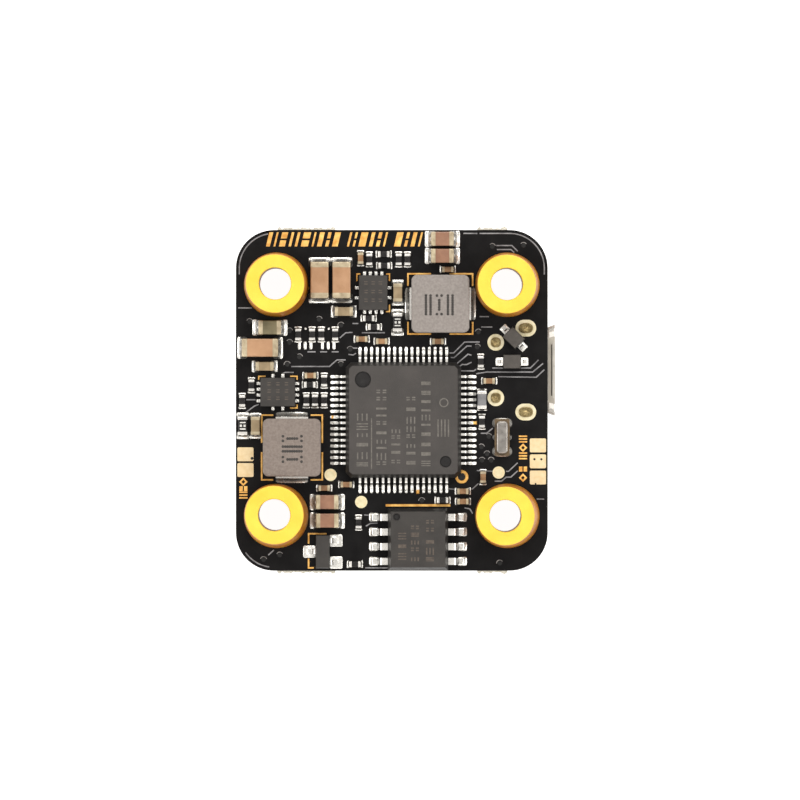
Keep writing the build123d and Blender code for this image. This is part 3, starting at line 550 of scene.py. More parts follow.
def nearest(bodies, place):
    """The body nearest to a place as seen from above, on whichever face of the board it is."""
    return min(bodies, key=lambda body: math.dist(body[:2], place[:2]))


def outer_end(box, centre, k):
    """Which way along axis k a lead points from a package's centre, its end and half its width."""
    direction = 1 if middle(box)[k] > centre[k] else -1
    return direction, box[direction > 0][k], (box[1][1 - k] - box[0][1 - k]) / 2


def chip_joints(mesh, chip, out, wide, climb):
    """Solder under and outside both end caps of every chip of one size."""
    bodies = [middle(b) for b in solids(chip + "_bodies")]
    for box in solids(chip + "_terminals"):
        place = middle(box)
        body = nearest(bodies, place)
        level = abs(place[0] - body[0]) > abs(place[1] - body[1]) + 0.01  # settles a tie
        k = 0 if level else 1
        length = (box[1][k] - box[0][k]) / 2
        width = (box[1][1 - k] - box[0][1 - k]) / 2
        height = box[1][2] - box[0][2]
        offset = math.copysign(out / 2, place[k] - body[k])
        dx, dy = turned(level, offset, 0)
        half = turned(level, length + out / 2, width + wide)
        core = (-dx, -dy, *turned(level, length, width))
        joint(mesh, (place[0] + dx, place[1] + dy), half, core, height * climb, side_of(box),
              segments=60, squareness=11, bulge=0.7)


def lead_joints(mesh, node, foot, out, wide, climb):
    """Solder under the feet of straight leads that point away from their package."""
    package = middle(limits(node.rsplit("_", 1)[0] + "_package"))
    for box in solids(node):
        level = box[1][0] - box[0][0] > box[1][1] - box[0][1]
        k = 0 if level else 1
        direction, tip, width = outer_end(box, package, k)
        centre = turned(level, tip + direction * (out - foot) / 2, middle(box)[1 - k])
        core = (*turned(level, -direction * out / 2, 0), *turned(level, foot / 2, width))
        joint(mesh, centre, turned(level, (foot + out) / 2, width + wide), core, climb,
              side_of(box), segments=20)


def inductor_joints(mesh, side):
    """Solder in front of the strips that fold up an inductor's sides."""
    core = middle(limits(f"{side}_inductor_core"))
    for box in solids(f"{side}_inductor_terminals"):
        level = box[1][0] - box[0][0] < box[1][1] - box[0][1]
        k = 0 if level else 1
        direction, face, width = outer_end(box, core, k)
        centre = turned(level, face + direction * 0.1, middle(box)[1 - k])
        strip = (*turned(level, -direction * 0.225, 0), *turned(level, 0.13, width - 0.2))
        joint(mesh, centre, turned(level, 0.33, width), strip, 0.6, 1, segments=40)


def transistor_joints(mesh):
    bodies = [middle(b) for b in solids("transistor_packages")]
    for box in solids("transistor_leads"):
        x, y, _ = middle(box)
        out = math.copysign(0.22, x - nearest(bodies, (x, y))[0])
        joint(mesh, (x + out, y), (0.57, 0.54), (-out, 0, 0.3, 0.22), 0.07, side_of(box),
              segments=40, lip=0.06, squareness=14)


def diode_joints(mesh):
    """Square pads under the diodes' leads. One diode lies along a diagonal of the board."""
    for box in solids("diode_leads"):
        x, y, _ = middle(box)
        diagonal = abs((box[1][0] - box[0][0]) - (box[1][1] - box[0][1])) < 0.1
        joint(mesh, (x, y), (0.4, 0.36), (0, 0, 0.2, 0.18), 0.06, 1, -45 if diagonal else 0,
              segments=40, lip=0.06, squareness=14)


def resonator_joints(mesh):
    """Three wide pads, of which the solder shows on both sides of the resonator's base."""
    x, y, _ = middle(limits("resonator_base"))
    for step, half in ((-1.22, (0.86, 0.46)), (0.0, (0.82, 0.34)), (1.22, (0.86, 0.46))):
        joint(mesh, (x, y + step), half, (0, 0, 0.64, 0.2), 0.3, 1, segments=44, squareness=3.2)


def corner_joints(mesh, node, half, climb):
    """Four solder pads that show at the corners of a can on the underside."""
    low, high = limits(node)
    proud = 0.14
    for sx, x in ((-1, low[0]), (1, high[0])):
        for sy, y in ((-1, low[1]), (1, high[1])):
            centre = (x + sx * (proud * 1.4 - half[0]), y + sy * (proud * 1.4 - half[1]))
            core = (-sx * proud, -sy * proud, half[0] - 0.06, half[1] - 0.06)
            joint(mesh, centre, half, core, climb, -1, segments=36, squareness=8)


def build_solder():
    mesh = Mesh()
    for chip, sizes in CHIP_SOLDER.items():
        chip_joints(mesh, chip, *sizes)
    for side in ("front", "left"):
        inductor_joints(mesh, side)
    for node, sizes in LEAD_SOLDER.items():
        lead_joints(mesh, node, *sizes)
    transistor_joints(mesh)
    diode_joints(mesh)
    resonator_joints(mesh)
    corner_joints(mesh, "crystal_base", (0.62, 0.55), 0.22)
    corner_joints(mesh, "barometer_base", (0.42, 0.36), 0.16)
    lead_joints(mesh, "gyro_pads", 0.3, 0.12, 0.0, 0.08)
    mesh.piece("solder_joints", "solder", smooth=50)


def build_hole_fills():
    """Solder that fills each plated hole around the socket's legs, dished in the middle."""
    mesh = Mesh()
    rim = 0.27  # width of the plating that stays bare
    core = (0, 0, 0.1, 0.02)
    for box in solids("plated_holes"):
        x, y, _ = middle(box)
        half = ((box[1][0] - box[0][0]) / 2 - rim, (box[1][1] - box[0][1]) / 2 - rim)
        leg = (half[0] * 0.45, half[1] * 0.32)
        for side in (1, -1):
            joint(mesh, (x, y), half, core, -0.07, side, segments=40, lip=0.15, squareness=2.4)
            joint(mesh, (x, y), leg, core, 0.06, side, segments=24, lip=0.09, squareness=2.4)
    mesh.piece("hole_solder", "hole_solder", smooth=60)


def build_bare_pads():
    """Tinned finger pads and dots that carry no component."""
    mesh = Mesh()
    for x in (-8.0, -7.5, -7.0, -6.0, -5.5, -5.0):
        joint(mesh, (x, 4.75), (0.12, 0.36), (0, 0, 0.02, 0.26), 0.07, 1, segments=20)
    for x in (-7.45, -5.45):
        joint(mesh, (x, 6.2), (0.1, 0.1), (0, 0, 0.02, 0.02), 0.06, 1, squareness=2)
    mesh.piece("bare_pads", "solder", smooth=60)


OPEN_VIA = (6.05, -6.62)  # the gold one at a corner of the processor


def build_gold_details():
    """Gold that shows at the ends of three leads, and round the open via."""
    mesh = Mesh()
    for x, y, size in ((-5.0, -1.45, (0.5, 0.28)), (7.12, -1.95, (0.5, 0.28)), (2.25, -7.85, (0.28, 0.5))):
        bar(mesh, x, y, *size, FACE[1], 0.14)
    ring(mesh, *OPEN_VIA, 0.33, 0.58, FACE[1], 0.05)
    mesh.piece("gold_details", "gold_print")


def build_test_pad_rims():
    mesh = Mesh()
    for box in solids("test_pads"):
        x, y, _ = middle(box)
        ring(mesh, x, y, 0.36, 0.43, box[1][2], 0.012)
    mesh.piece("test_pad_rims", "gold_pad")


def build_drilled_dots():
    """Dark discs of painted shade in the mouths of the open via and of the small vias in the jumper pads."""
    mesh = Mesh()
    disc(mesh, *OPEN_VIA, 0.36, FACE[1], 0.012)
    for x, y, radius in ((12.35, -5.1, 0.1), (12.95, -5.1, 0.1), (-12.1, -5.02, 0.13), (12.45, -7.22, 0.08)):
        disc(mesh, x, y, radius, FACE[1] + 0.05, 0.006, 16)
    mesh.piece("hole_shade_dots", "hole_shade_and_seams")


def build_socket_details():
    """The slit along the socket's upper lip and the openings round the spring tongues of its lower face,
    drawn as dark bars of painted shade, with the steel tongues and the dark seam of that face.
    """
    low, high = limits("usb_shell")
    centre = (low[1] + high[1]) / 2
    steel = Mesh()
    shade = Mesh()
    # painted shade: a dark bar where the slit between the lips lies in shadow
    bar(shade, high[0] - 0.28, centre, 0.09, 4.5, 0.02, 0.09)
    bar(steel, high[0] - 0.17, centre, 0.07, 4.9, 0.02, 0.16)
    base = -2.45  # the shell's flat lower face, above its flared lips
    for side in (-1, 1):
        y = centre + side * 1.9
        # painted shade: a dark patch round each spring tongue, and a short bar at its root, where the cut-out
        # lies in shadow
        bar(shade, 11.5, y, 2.3, 1.0, base, -0.006)
        bar(steel, 11.6, y, 2.1, 0.72, base, -0.022)
        bar(shade, 12.45, y, 0.12, 0.5, base, -0.03)
    for x, y in ((9.2, 0.0), (9.9, 0.16), (10.6, 0.0), (11.3, -0.16), (12.0, 0.0), (12.7, 0.0)):
        bar(shade, x, centre + y, 0.74, 0.05, base, -0.012)
    steel.piece("socket_tongues", "socket_steel")
    shade.piece("socket_shade_and_seams", "hole_shade_and_seams")


# package, place from its centre and radius, as in the CAD model
DIMPLES = (
    ("processor_package", -3.5, 3.5, 0.7),
    ("processor_package", 3.65, -3.6, 0.5),
    ("flash_memory_package", -1.85, 1.95, 0.3),
)
DIMPLE_DEPTH = 0.12


def build_dimples():
    """Dark linings of the mould dimples on the two large chips."""
    mesh = Mesh()
    for name, dx, dy, radius in DIMPLES:
        box = limits(name)
        x, y, _ = middle(box)
        low = box[1][2] - DIMPLE_DEPTH
        disc(mesh, x + dx, y + dy, radius - 0.01, low, 0.012, 40)
        ring(mesh, x + dx, y + dy, radius - 0.06, radius - 0.004, low, DIMPLE_DEPTH - 0.01, 40)
    mesh.piece("mould_pits", "dimple")


def build_resistor_marks():
    """Two white bars and two blocks on each of the larger resistors."""
    mesh = Mesh()
    for box in solids("small_resistor_bodies"):
        x, y, _ = middle(box)
        for step in (-0.28, 0.28):
            bar(mesh, x, y + step, 0.5, 0.1, box[1][2], MARK)
        for across in (-0.16, 0.16):
            bar(mesh, x + across, y, 0.18, 0.2, box[1][2], MARK)
    mesh.piece("resistor_marks", "print_white")


def paint_khaki_capacitor():
    """One of the medium capacitors is khaki where the others are pinkish brown."""
    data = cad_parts["medium_capacitor_bodies"].data
    data.materials.append(MATERIALS["ceramic_khaki"])
    for polygon in data.polygons:
        if polygon.center.x < -9 * MM:
            polygon.material_index = 1


STUBS = ((-7.4, 5.0), (8.7, 2.6))  # x and width of the break-off stubs on each edge
STUB_ROOT = 14.74
FIBRE_PITCH = 0.09


def fibre(mesh, source, x, side, near_end):
    """One torn splinter, a thin wedge that stands out of the edge. source gives its sizes."""
    reach = source.uniform(0.18, 0.27) if near_end else source.uniform(0.08, 0.2)
    low = source.uniform(0.3, 0.7)
    high = source.uniform(0.9, 1.35)
    root = side * STUB_ROOT
    tip = side * (STUB_ROOT + reach)
    lean = source.uniform(-0.08, 0.08)
    points = [(x - 0.06, root, low), (x + 0.06, root, low), (x + 0.06, root, high)]
    points += [(x - 0.06, root, high), (x + lean, tip, (low + high) / 2)]
    mesh.add(points, [[0, 1, 2, 3], [0, 1, 4], [1, 2, 4], [2, 3, 4], [3, 0, 4]])


def build_stub_fibres():
    """Torn glass fibres along the four break-off stubs, longest near a stub's ends."""
    mesh = Mesh()
    source = random.Random(21)
    for centre, width in STUBS:
        steps = int(width / FIBRE_PITCH)
        for side in (-1, 1):
            for i in range(steps):
                x = centre - width / 2 + width * (i + 0.5) / steps + source.uniform(-0.03, 0.03)
                fibre(mesh, source, x, side, abs(2 * i / steps - 1) > 0.88)
    mesh.piece("stub_fibres", "bare_fibre", smooth=None)


# ---- copper relief under the solder mask ----
def arc(x, y, radius, start, end):
    """Points along an arc, with its angles in degrees."""
    steps = 14
    angles = [math.radians(start + (end - start) * i / steps) for i in range(steps + 1)]
    return [(x + radius * math.cos(a), y + radius * math.sin(a)) for a in angles]


# routes of trace relief in a light grey, a painted highlight; the lines along the board's edges and round its
# corners also give the highlight along the edge
UPPER_TRACES = [
    [(-8.7, 2.93), (-5.4, 2.93), (-4.75, 3.5), (-4, 3.5)],
    [(5, 4.1), (5.35, 4.1), (6.3, 5.05), (7.6, 5.05)],
    [(5.1, 3.7), (5.4, 3.7), (6.5, 4.7), (6.9, 4.7)], [(5.6, 3.15), (6.6, 4), (6.9, 3.9)],
    [(5.8, 2.9), (6.1, 3.1), (6.5, 3.1), (6.9, 3.3)], [(6, 2.55), (7.1, 2.55), (7.3, 2.7)],
    [(8.7, 2.8), (9.6, 2.8)], [(11.2, 2.8), (12, 2.8), (12.7, 3.5)],
    [(7.3, 2.3), (8.2, 2.45), (12.2, 2.45), (13.1, 3.2)], [(9.2, 2.05), (12.5, 2), (13.2, 2.65)],
    [(9.05, 13.4), (10.4, 13.4), (10.9, 12.9)], [(9.1, 13.05), (10.3, 13.05), (10.6, 12.8)],
    [(9.9, -6.15), (10.1, -6.15), (10.9, -5.4)],
    [(8.9, -7), (9.5, -7), (9.9, -6.65), (10.3, -6.65), (10.9, -6.1)],
    [(12.55, -8.55), (13.2, -8.55)], [(-13.3, 8), (-12.1, 8)], [(-12.6, 0.05), (-11.8, 0.05)],
    [(-12.7, -1.1), (-11.9, -0.5), (-11.5, -0.35)], [(-3.4, 6.65), (-2.9, 6.65)],
    [(-2.6, 5.85), (-0.6, 5.85)], [(7.6, 7.25), (8.4, 7.25)], [(7.75, 6.35), (8.7, 6.35)],
    [(-10.7, -13.4), (-10.2, -12.95)], [(6.2, 14.45), (7.4, 14.45)],
    [(7.6, 14.45), (9.6, 14.45), *arc(10.2, 11.45, 3, 88, 0), (13.2, 10.9)],
    [(-13.2, 10.9), *arc(-10.2, 11.45, 3, 180, 100)], [*arc(-10.2, -11.45, 3, 215, 262)],
    [(-4.5, 5.4), (-4, 5.85), (-3.4, 5.88)], [(-3.75, 3.98), (-3.35, 3.92), (-3.1, 4.08)],
    [(-3.35, 4.52), (-2.98, 4.52)], [(-7.3, 4.2), (-6.6, 4.2)], [(-6.2, 4.2), (-5.6, 4.2)],
    [(-5.2, 4.2), (-4.6, 4.2)], [(-9.5, 2.3), (-9.2, 2.42), (-8.5, 2.42)],
    [(7.7, -2.85), (8.2, -2.85), (8.75, -2.4)], [(7.35, -6.08), (8.75, -6.15)],
    [(6.95, -7.7), (7.5, -7.2)], [(4.9, -7.65), (5.5, -7.7)], [(6.3, -9.3), (6.75, -9.4), (7, -9.8)],
    [(-2.25, -10.9), (-1.85, -10.65), (-1.2, -10.62)], [(-2.4, -9.92), (-1.9, -9.95)],
    [(-2.3, -14.5), (0, -14.5)],
]
LOWER_TRACES = [

    [(3.6, 7), (3.6, 5.4), (2.2, 4), (2.2, 2.2)],
    [(-6, 5.8), (-6, 2), (-4, 0), (-1.4, 0)],
    [(-8.2, 3), (-6.8, 3), (-3.6, 1.2), (-1.2, 1.2)],
    [(7.4, 2.6), (4.4, 2.6), (3, 1.2), (2.2, 1.2)],
    [(2.8, -5.6), (1.4, -5.6), (-0.6, -3.6), (-0.6, -1.4)],
    [(-3.5, -9), (-3.5, -7.6), (-6.5, -4.6), (-6.5, -1)],
    [(-2.5, -9), (-2.5, -7), (-3, -6.5)], [(0.5, -9), (0.5, -7), (2, -5.5)],
    [(1.5, -9), (1.5, -7.6), (3, -6.6)], [(-11.6, -0.8), (-9.4, -0.8), (-8.6, -1.6)],
    [(-11.6, 0.9), (-10.8, 0.9), (-10, 0.1), (-8, 0.1)], [(7.6, -3.2), (11.6, -3.2)],
    [(7.6, -4), (10.6, -4), (11.6, -4.9)],
]
UPPER_VIAS = [
    (8.7, 13.3), (11.4, 13.4), (-12.3, 6.8), (-8.85, 6), (-8.85, 5), (-8, 3.75),
    (-9.05, 3.1), (-6.3, 7), (-4.4, 6.5), (-3.6, 4.4), (-4.4, 3.1), (7.5, 5.9), (7.4, 4.6),
    (2.6, -8.7), (-11.1, -13.8), (-9.7, -13.4), (8.4, -3.15), (7.75, -4.05), (8.25, -4.65),
    (8.6, -5.2), (7.8, -5.2), (9.35, -14.1),
]
LOWER_VIAS = [

    (2.2, 2.2), (-6, 2), (-1.4, 0), (4.4, 2.6), (-0.6, -1.4), (-6.5, -1), (7.6, -3.2),
    (7.6, -4), (-8, 0.1), (3.4, -1.4), (4.2, -2.2), (-3, 2.4), (-2.2, 3), (1.4, 3.4),
    (9.8, -2.8), (-11.2, -7), (-6.8, -8.4), (6.9, -9), (7.2, 12.9), (-7.2, 13),
]


def build_traces():
    """Traces, and vias: each rim is raised only along the arc where it catches the light, in a lighter
    colour, a painted highlight, round a dark hole of painted shade.
    """
    mesh = Mesh()
    rings = Mesh()
    holes = Mesh()
    for side, routes, vias in ((1, UPPER_TRACES, UPPER_VIAS), (-1, LOWER_TRACES, LOWER_VIAS)):
        for route in routes:
            ribbon(mesh, route, 0.11, FACE[side], side * 0.018)
        for x, y in vias:
            # each arc faces the light: only the lit side of the rim is drawn, as a painted highlight
            start = random.uniform(10, 40)
            ring(rings, x, y, 0.24, 0.31, FACE[side], side * 0.02, 24, start, random.uniform(110, 170))
            disc(holes, x, y, 0.19, FACE[side], side * 0.006, 20)
    mesh.piece("trace_relief", "copper_relief_highlight")
    rings.piece("via_relief", "via_rim_highlight", smooth=40)
    holes.piece("via_holes", "hole_shade_and_seams", smooth=40)


# ---- printed marks ----
PRINT = 0.015  # how far a printed line stands up


def corners(mesh, node, margin, leg, width, side=1, skip=None):
    """Gold corner brackets round a component, each leg as long as leg says."""
    low, high = limits(node)
    for sx in (0, 1):
        for sy in (0, 1):
            if (sx, sy) == skip:
                continue
            x = (low[0] - margin[0], high[0] + margin[0])[sx]
            y = (low[1] - margin[1], high[1] + margin[1])[sy]
            dx = leg[0] * (1 - 2 * sx)
            dy = leg[1] * (1 - 2 * sy)
            ribbon(mesh, [(x + dx, y), (x, y), (x, y + dy)], width, FACE[side], side * PRINT)


# widths of the strip's bars, which repeat, and the bars after which the strip is parted
STRIP = (0.34, 0.16, 0.52, 0.22, 0.22, 0.62, 0.16, 0.4, 0.28,
         0.5, 0.18, 0.18, 0.6, 0.3, 0.3, 0.16, 0.56, 0.24)
STRIP_GAPS = (9, 15)
STRIP_X = (-10.75, 2.7)
STRIP_Y = (13.32, 14.55)
STRIP_LEAN = 0.24
STRIP_SPLIT = 0.16  # between the halves of a divided bar


def title_strip(mesh):
    """A row of slanted gold bars along the front edge, where a board carries its title."""
    height = STRIP_Y[1] - STRIP_Y[0]
    y = sum(STRIP_Y) / 2
    x = STRIP_X[0]
    for index, width in enumerate(STRIP * 2):
        if x + width > STRIP_X[1]:
            break
        centre = x + width / 2
        if index % 3 == 2:
            half = (height - STRIP_SPLIT) / 2
            for side in (-1, 1):
                step = side * (half + STRIP_SPLIT) / 2
                place = (centre + step * STRIP_LEAN, y + step)
                bar(mesh, *place, width, half, FACE[1], PRINT, slant=STRIP_LEAN)
        else:
            bar(mesh, centre, y, width, height, FACE[1], PRINT, slant=STRIP_LEAN)
        x += width + (0.8 if index in STRIP_GAPS else 0.31)


def pad_marks(mesh, x, places):
    """Short gold bars, diamonds and blocks beside a row of solder-jumper pads."""
    for y, kind in places:
        if kind == "bars":
            for step in (-0.24, 0.0, 0.24):
                bar(mesh, x, y + step, 0.72, 0.13, FACE[1], PRINT)
        elif kind == "diamond":
            ring(mesh, x, y, 0.17, 0.37, FACE[1], PRINT, segments=4)
        else:
            bar(mesh, x - 0.2, y, 0.3, 0.44, FACE[1], PRINT)
            bar(mesh, x + 0.2, y, 0.3, 0.44, FACE[1], PRINT)


RIGHT_PAD_MARKS = ((-3.35, "bars"), (-4.1, "diamond"), (-4.8, "bars"), (-5.95, "blocks"), (-6.7, "diamond"))
LEFT_PAD_MARKS = ((-7.05, "diamond"), (-7.65, "blocks"), (-8.2, "bars"))


def build_prints():
    """Gold printing on both faces of the board."""
    gold = Mesh()
    title_strip(gold)
    pad_marks(gold, 11.36, RIGHT_PAD_MARKS)
    pad_marks(gold, -12.85, LEFT_PAD_MARKS)
    corners(gold, "front_inductor_core", (0.3, 0.1), (2.0, 1.05), 0.14)
    corners(gold, "left_inductor_core", (0.12, 0.3), (1.0, 2.4), 0.14)
    corners(gold, "front_converter_package", (0.16, 0.12), (0.3, 0.6), 0.12, skip=(0, 0))
    corners(gold, "left_converter_package", (0.16, 0.12), (0.6, 0.3), 0.12, skip=(0, 0))
    corners(gold, "gyro_package", (0.4, 0.35), (0.5, 0.5), 0.12, side=-1)
    corners(gold, "crystal_base", (0.35, 0.3), (0.6, 0.6), 0.12, side=-1)
    corners(gold, "barometer_base", (0.35, 0.3), (0.5, 0.5), 0.12, side=-1)
    low, high = limits("flash_memory_package")
    bar(gold, (low[0] + high[0]) / 2, high[1] + 0.25, 5.6, 0.2, FACE[1], PRINT)
    ribbon(gold, [(-5.65, -11.55), (-7.2, -11.55), (-7.2, -12.4)], 0.14, FACE[1], PRINT)
    ribbon(gold, [(-7.2, -13.7), (-7.2, -14.5), (-6.75, -14.5)], 0.14, FACE[1], PRINT)
    wire_pad_marks(gold)
    gold.piece("gold_prints", "gold_print")


def wire_pad_marks(mesh):
    """A short stroke inward of each wire pad on the underside."""
    for box in solids("wire_pads"):
        x, y, _ = middle(box)
        if abs(y) > 12:
            bar(mesh, x, y - 1.15, 0.5, 0.14, FACE[-1], -PRINT)
        else:
            bar(mesh, x + math.copysign(1.1, -x), y, 0.14, 0.5, FACE[-1], -PRINT)


MARK = 0.006  # how far laser marking stands up
PROCESSOR_COLUMNS = (  # x, start, end and width of each column of marking
    (-2.55, -5.7, -1.1, 1.0),
    (-0.9, -5.7, 1.7, 0.9),
    (0.35, -5.7, -2.5, 0.8),
    (1.65, -5.7, 0.7, 0.8),
    (2.95, -5.7, 2.4, 0.8),
)
FLASH_COLUMNS = ((0.9, -13.8, -10.9), (2.0, -13.9, -10.6), (3.3, -13.9, -10.4))


def dashes(mesh, x, low, high, top, width, seed):
    """A column of small bars that stands for one line of laser marking, read sideways."""
    source = random.Random(seed)
    thick = 0.12
    y = low
    while y < high:
        length = source.choice((0.34, 0.5, 0.62))
        if y + length > high:
            break
        kind = source.choice((0, 1, 2, 3))
        centre = y + length / 2
        if kind == 0:
            bars = [(x, centre, width, length * 0.5)]
        elif kind == 1:
            bars = [(x, y + length * step, width, thick * 0.8) for step in (0.12, 0.5, 0.88)]
        elif kind == 2:
            places = [(x + width * step, centre + up) for step in (-0.3, 0.3) for up in (0, 0.2)]
            bars = [(*place, width * 0.36, thick) for place in places]
        else:
            bars = [(x + width * step, centre, thick, length) for step in (-0.4, 0.0, 0.4)]
        for sizes in bars:
            bar(mesh, *sizes, top, MARK)
        y += length + source.choice((0.2, 0.26, 0.34))


def build_processor_marks():
    mesh = Mesh()
    top = limits("processor_package")[1][2]
    for seed, (x, low, high, width) in enumerate(PROCESSOR_COLUMNS):
        dashes(mesh, x, low, high, top, width, seed + 3)
    bar(mesh, -1.75, -3.75, 0.1, 4.4, top, MARK)
    ring(mesh, 4.5, -0.2, 0.3, 0.4, top, MARK, 32)
    for step in range(4):
        bar(mesh, 4.0 + 0.3 * step, -2.4, 0.12, 1.5, top, MARK)
    mesh.piece("processor_marks", "laser_mark")


def converter_marks(mesh, package):
    """Three rows of three pairs of dashes."""
    low, high = limits(package)
    for row in range(3):
        for column in range(3):
            x = low[0] + (high[0] - low[0]) * (0.25 + 0.25 * column)
            y = low[1] + (high[1] - low[1]) * (0.25 + 0.25 * row)
            bar(mesh, x, y, 0.3, 0.09, high[2], 0.005)
            bar(mesh, x, y + 0.2, 0.3, 0.07, high[2], 0.005)


def display_chip_marks(mesh):
    """Two rows of nine strokes, on the chip's face below the board."""
    low, high = limits("osd_chip_package")
    for row in range(2):
        y = high[1] - 1.5 - 1.2 * row
        for column in range(9):
            x = low[0] + 1.6 + 0.75 * column
            bar(mesh, x, y, 0.42, 0.1, low[2], -0.005)
            bar(mesh, x - 0.28, y, 0.09, 0.6, low[2], -0.005)


def build_chip_marks():
    mesh = Mesh()
    top = limits("flash_memory_package")[1][2]
    for seed, (x, low, high) in enumerate(FLASH_COLUMNS):
        dashes(mesh, x, low, high, top, 0.7, seed + 20)
    converter_marks(mesh, "front_converter_package")
    converter_marks(mesh, "left_converter_package")
    display_chip_marks(mesh)
    mesh.piece("chip_marks", "faint_mark")


def mark_block(mesh, x, y, paired, top, turn=0):
    """One dotted symbol of an inductor's marking: a pair of bars, or a bar between dots."""
    for step in range(-4, 5):
        py = 0.2 * step
        if paired or abs(step) == 4:
            across = (-0.2, 0.2)
        else:
            across = (0.0,) if abs(step) < 3 else ()
        for px in across:
            disc(mesh, *turned_point(x, y, px, py, turn), 0.125, top, 0.008, 12)


def build_inductor_marks():
    mesh = Mesh()
    top = limits("front_inductor_core")[1][2]
    for x, paired in ((3.15, True), (4.1, False), (5.05, True)):
        mark_block(mesh, x, 8.25, paired, top)
    top = limits("left_inductor_core")[1][2]
    for y, paired in ((-3.3, False), (-4.2, True), (-5.1, False)):
        mark_block(mesh, -8.6, y, paired, top, 90)
    mesh.piece("inductor_marks", "inductor_mark")


# ---- grommets ----
LEANS = {  # how far each grommet's upper end is off its hole's centre, in x and y
    "grommet_front_left": (-0.08, 0.08),
    "grommet_front_right": (-0.07, 0.04),
    "grommet_rear_left": (-0.15, 0.1),
    "grommet_rear_right": (-0.2, 0.02),
}
GROMMET_BORE = 1.375  # radius
GROMMET_NECK = 1.98  # radius in the board's hole
GROMMET_TAPER = 0.25  # how much a flange's radius shrinks from the board to its end


def grommet_profile(base, low, high):
    """The outline of half a grommet as radius and height, round both flanges and the bore."""
    tip = base - GROMMET_TAPER
    upper = [(GROMMET_BORE + 0.05, high), (tip - 0.07, high), (tip - 0.02, high - 0.03)]
    upper += [(tip + 0.01, high - 0.1), (base - 0.05, FACE[1] + 0.7), (base, FACE[1] + 0.12)]
    upper += [(base - 0.05, FACE[1] + 0.01), (GROMMET_NECK, FACE[1] + 0.02)]
    lower = [(r, FACE[1] + FACE[-1] - z) for r, z in reversed(upper)]
    return upper + lower + [(GROMMET_BORE, low + 0.05), (GROMMET_BORE, high - 0.05)]


def build_grommet(name, lean):
    """A soft spool with rounded rims that leans a little in its hole, as a pressed-in one does."""
    low, high = limits(name)
    x, y, _ = middle((low, high))
    profile = grommet_profile((high[0] - low[0]) / 2, low[2], high[2])
    segments = 72
    count = len(profile)
    verts = []
    faces = []
    for i in range(segments):
        angle = 2 * math.pi * i / segments
        for radius, z in profile:
            up = max(0.0, (z - FACE[1]) / (high[2] - FACE[1]))
            down = max(0.0, (FACE[-1] - z) / (FACE[-1] - low[2]))
            wide = radius * (1 + 0.004 * math.sin(2 * angle + x) * (up + down))
            shift = 1.0 if radius < GROMMET_NECK - 0.1 else up - down * 0.3
            verts.append((x + wide * math.cos(angle) + lean[0] * shift,
                          y + wide * math.sin(angle) + lean[1] * shift, z))
        faces += band(i * count, (i + 1) % segments * count, count)
    mesh = Mesh()
    mesh.add(verts, faces)
    mesh.piece(name + "_soft", "silicone", replaces=[name])


def build_grommet_flash():
    """Small tags of moulding flash on the widest part of three grommets."""
    mesh = Mesh()
    for x, y, turn in ((-7.28, 9.7, 0), (-7.36, -10.2, 0), (11.22, -12.3, -62)):
        bar(mesh, x, y, 0.24, 0.2, FACE[1] + 0.1, 0.55, turn)
    mesh.piece("grommet_flash", "silicone")


# ---- floor, light and camera ----
def build_floor():
    """A plain white floor under the grommets."""
    mesh = Mesh()
    prism(mesh, [(-900, -900), (900, -900), (900, 900), (-900, 900)], FLOOR - 2.0, FLOOR)
    n = Nodes("floor_white")
    shade = n.ramp(n.noise(3.0), (0.3, (0.5, 0.5, 0.5, 1)), (0.7, (0.56, 0.56, 0.56, 1)))
    n.shade(Base_Color=shade, Roughness=0.9, Emission_Color=(1, 1, 1, 1), Emission_Strength=0.95)
    obj = bpy.data.objects.new("floor", mesh.data("floor", n.material))
    bpy.context.scene.collection.objects.link(obj)


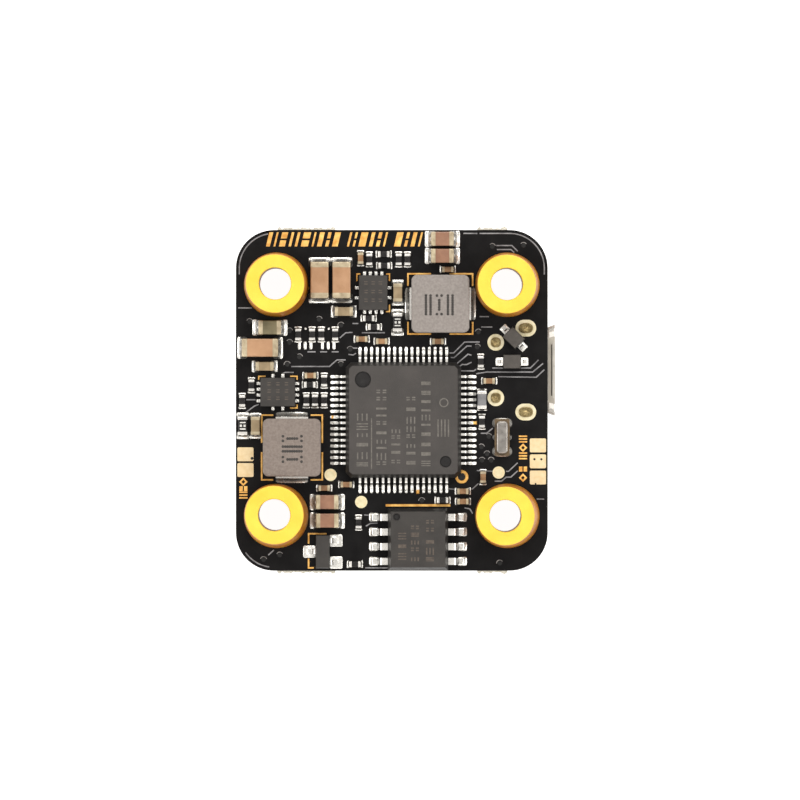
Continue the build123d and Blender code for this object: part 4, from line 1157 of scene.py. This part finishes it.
# name, place and size in metres, and power in watts, of soft lights that look at the board
PANELS = (
    ("panel_front", (0.05, 0.34, 0.34), (0.4, 0.3), 2.1),
    ("panel_left", (-0.38, 0.0, 0.3), (0.3, 0.4), 1.3),
    ("panel_right", (0.38, -0.05, 0.3), (0.3, 0.4), 1.2),
    ("panel_rear", (0.0, -0.36, 0.3), (0.4, 0.25), 0.9),
)
PANEL_COLOUR = (1.0, 0.965, 0.92)


def build_lights():
    for name, place, size, power in PANELS:
        light = bpy.data.lights.new(name, "AREA")
        light.shape = "RECTANGLE"
        light.size, light.size_y = size
        light.energy = power
        light.color = PANEL_COLOUR
        lamp = bpy.data.objects.new(name, light)
        lamp.location = place
        lamp.rotation_euler = (-Vector(place)).to_track_quat("-Z", "Y").to_euler()
        bpy.context.scene.collection.objects.link(lamp)
    world = bpy.data.worlds.new("studio")
    world.use_nodes = True
    background = world.node_tree.nodes["Background"]
    background.inputs["Color"].default_value = (1.0, 0.975, 0.94, 1)
    background.inputs["Strength"].default_value = 0.52
    bpy.context.scene.world = world


CAMERA_PLACE = (0.71, 0.03)  # over the board, in millimetres
CAMERA_HEIGHT = 900.3  # above the board's upper face


def build_camera():
    """A camera that looks straight down with a long lens."""
    lens = bpy.data.cameras.new("camera")
    lens.lens = 468
    lens.sensor_width = 36
    lens.clip_start = 0.01
    lens.clip_end = 10
    camera = bpy.data.objects.new("camera", lens)
    camera.location = [c * MM for c in (*CAMERA_PLACE, FACE[1] + CAMERA_HEIGHT)]
    bpy.context.scene.collection.objects.link(camera)
    bpy.context.scene.camera = camera
    bpy.context.scene.view_settings.view_transform = "Standard"


build_floor()
build_lights()
build_camera()
paint_cad_nodes()
paint_khaki_capacitor()
for grommet, off_centre in LEANS.items():
    build_grommet(grommet, off_centre)
build_grommet_flash()
build_solder()
build_hole_fills()
build_bare_pads()
build_gold_details()
build_test_pad_rims()
build_drilled_dots()
build_dimples()
build_socket_details()
build_resistor_marks()
build_stub_fibres()
build_traces()
build_prints()
build_processor_marks()
build_chip_marks()
build_inductor_marks()
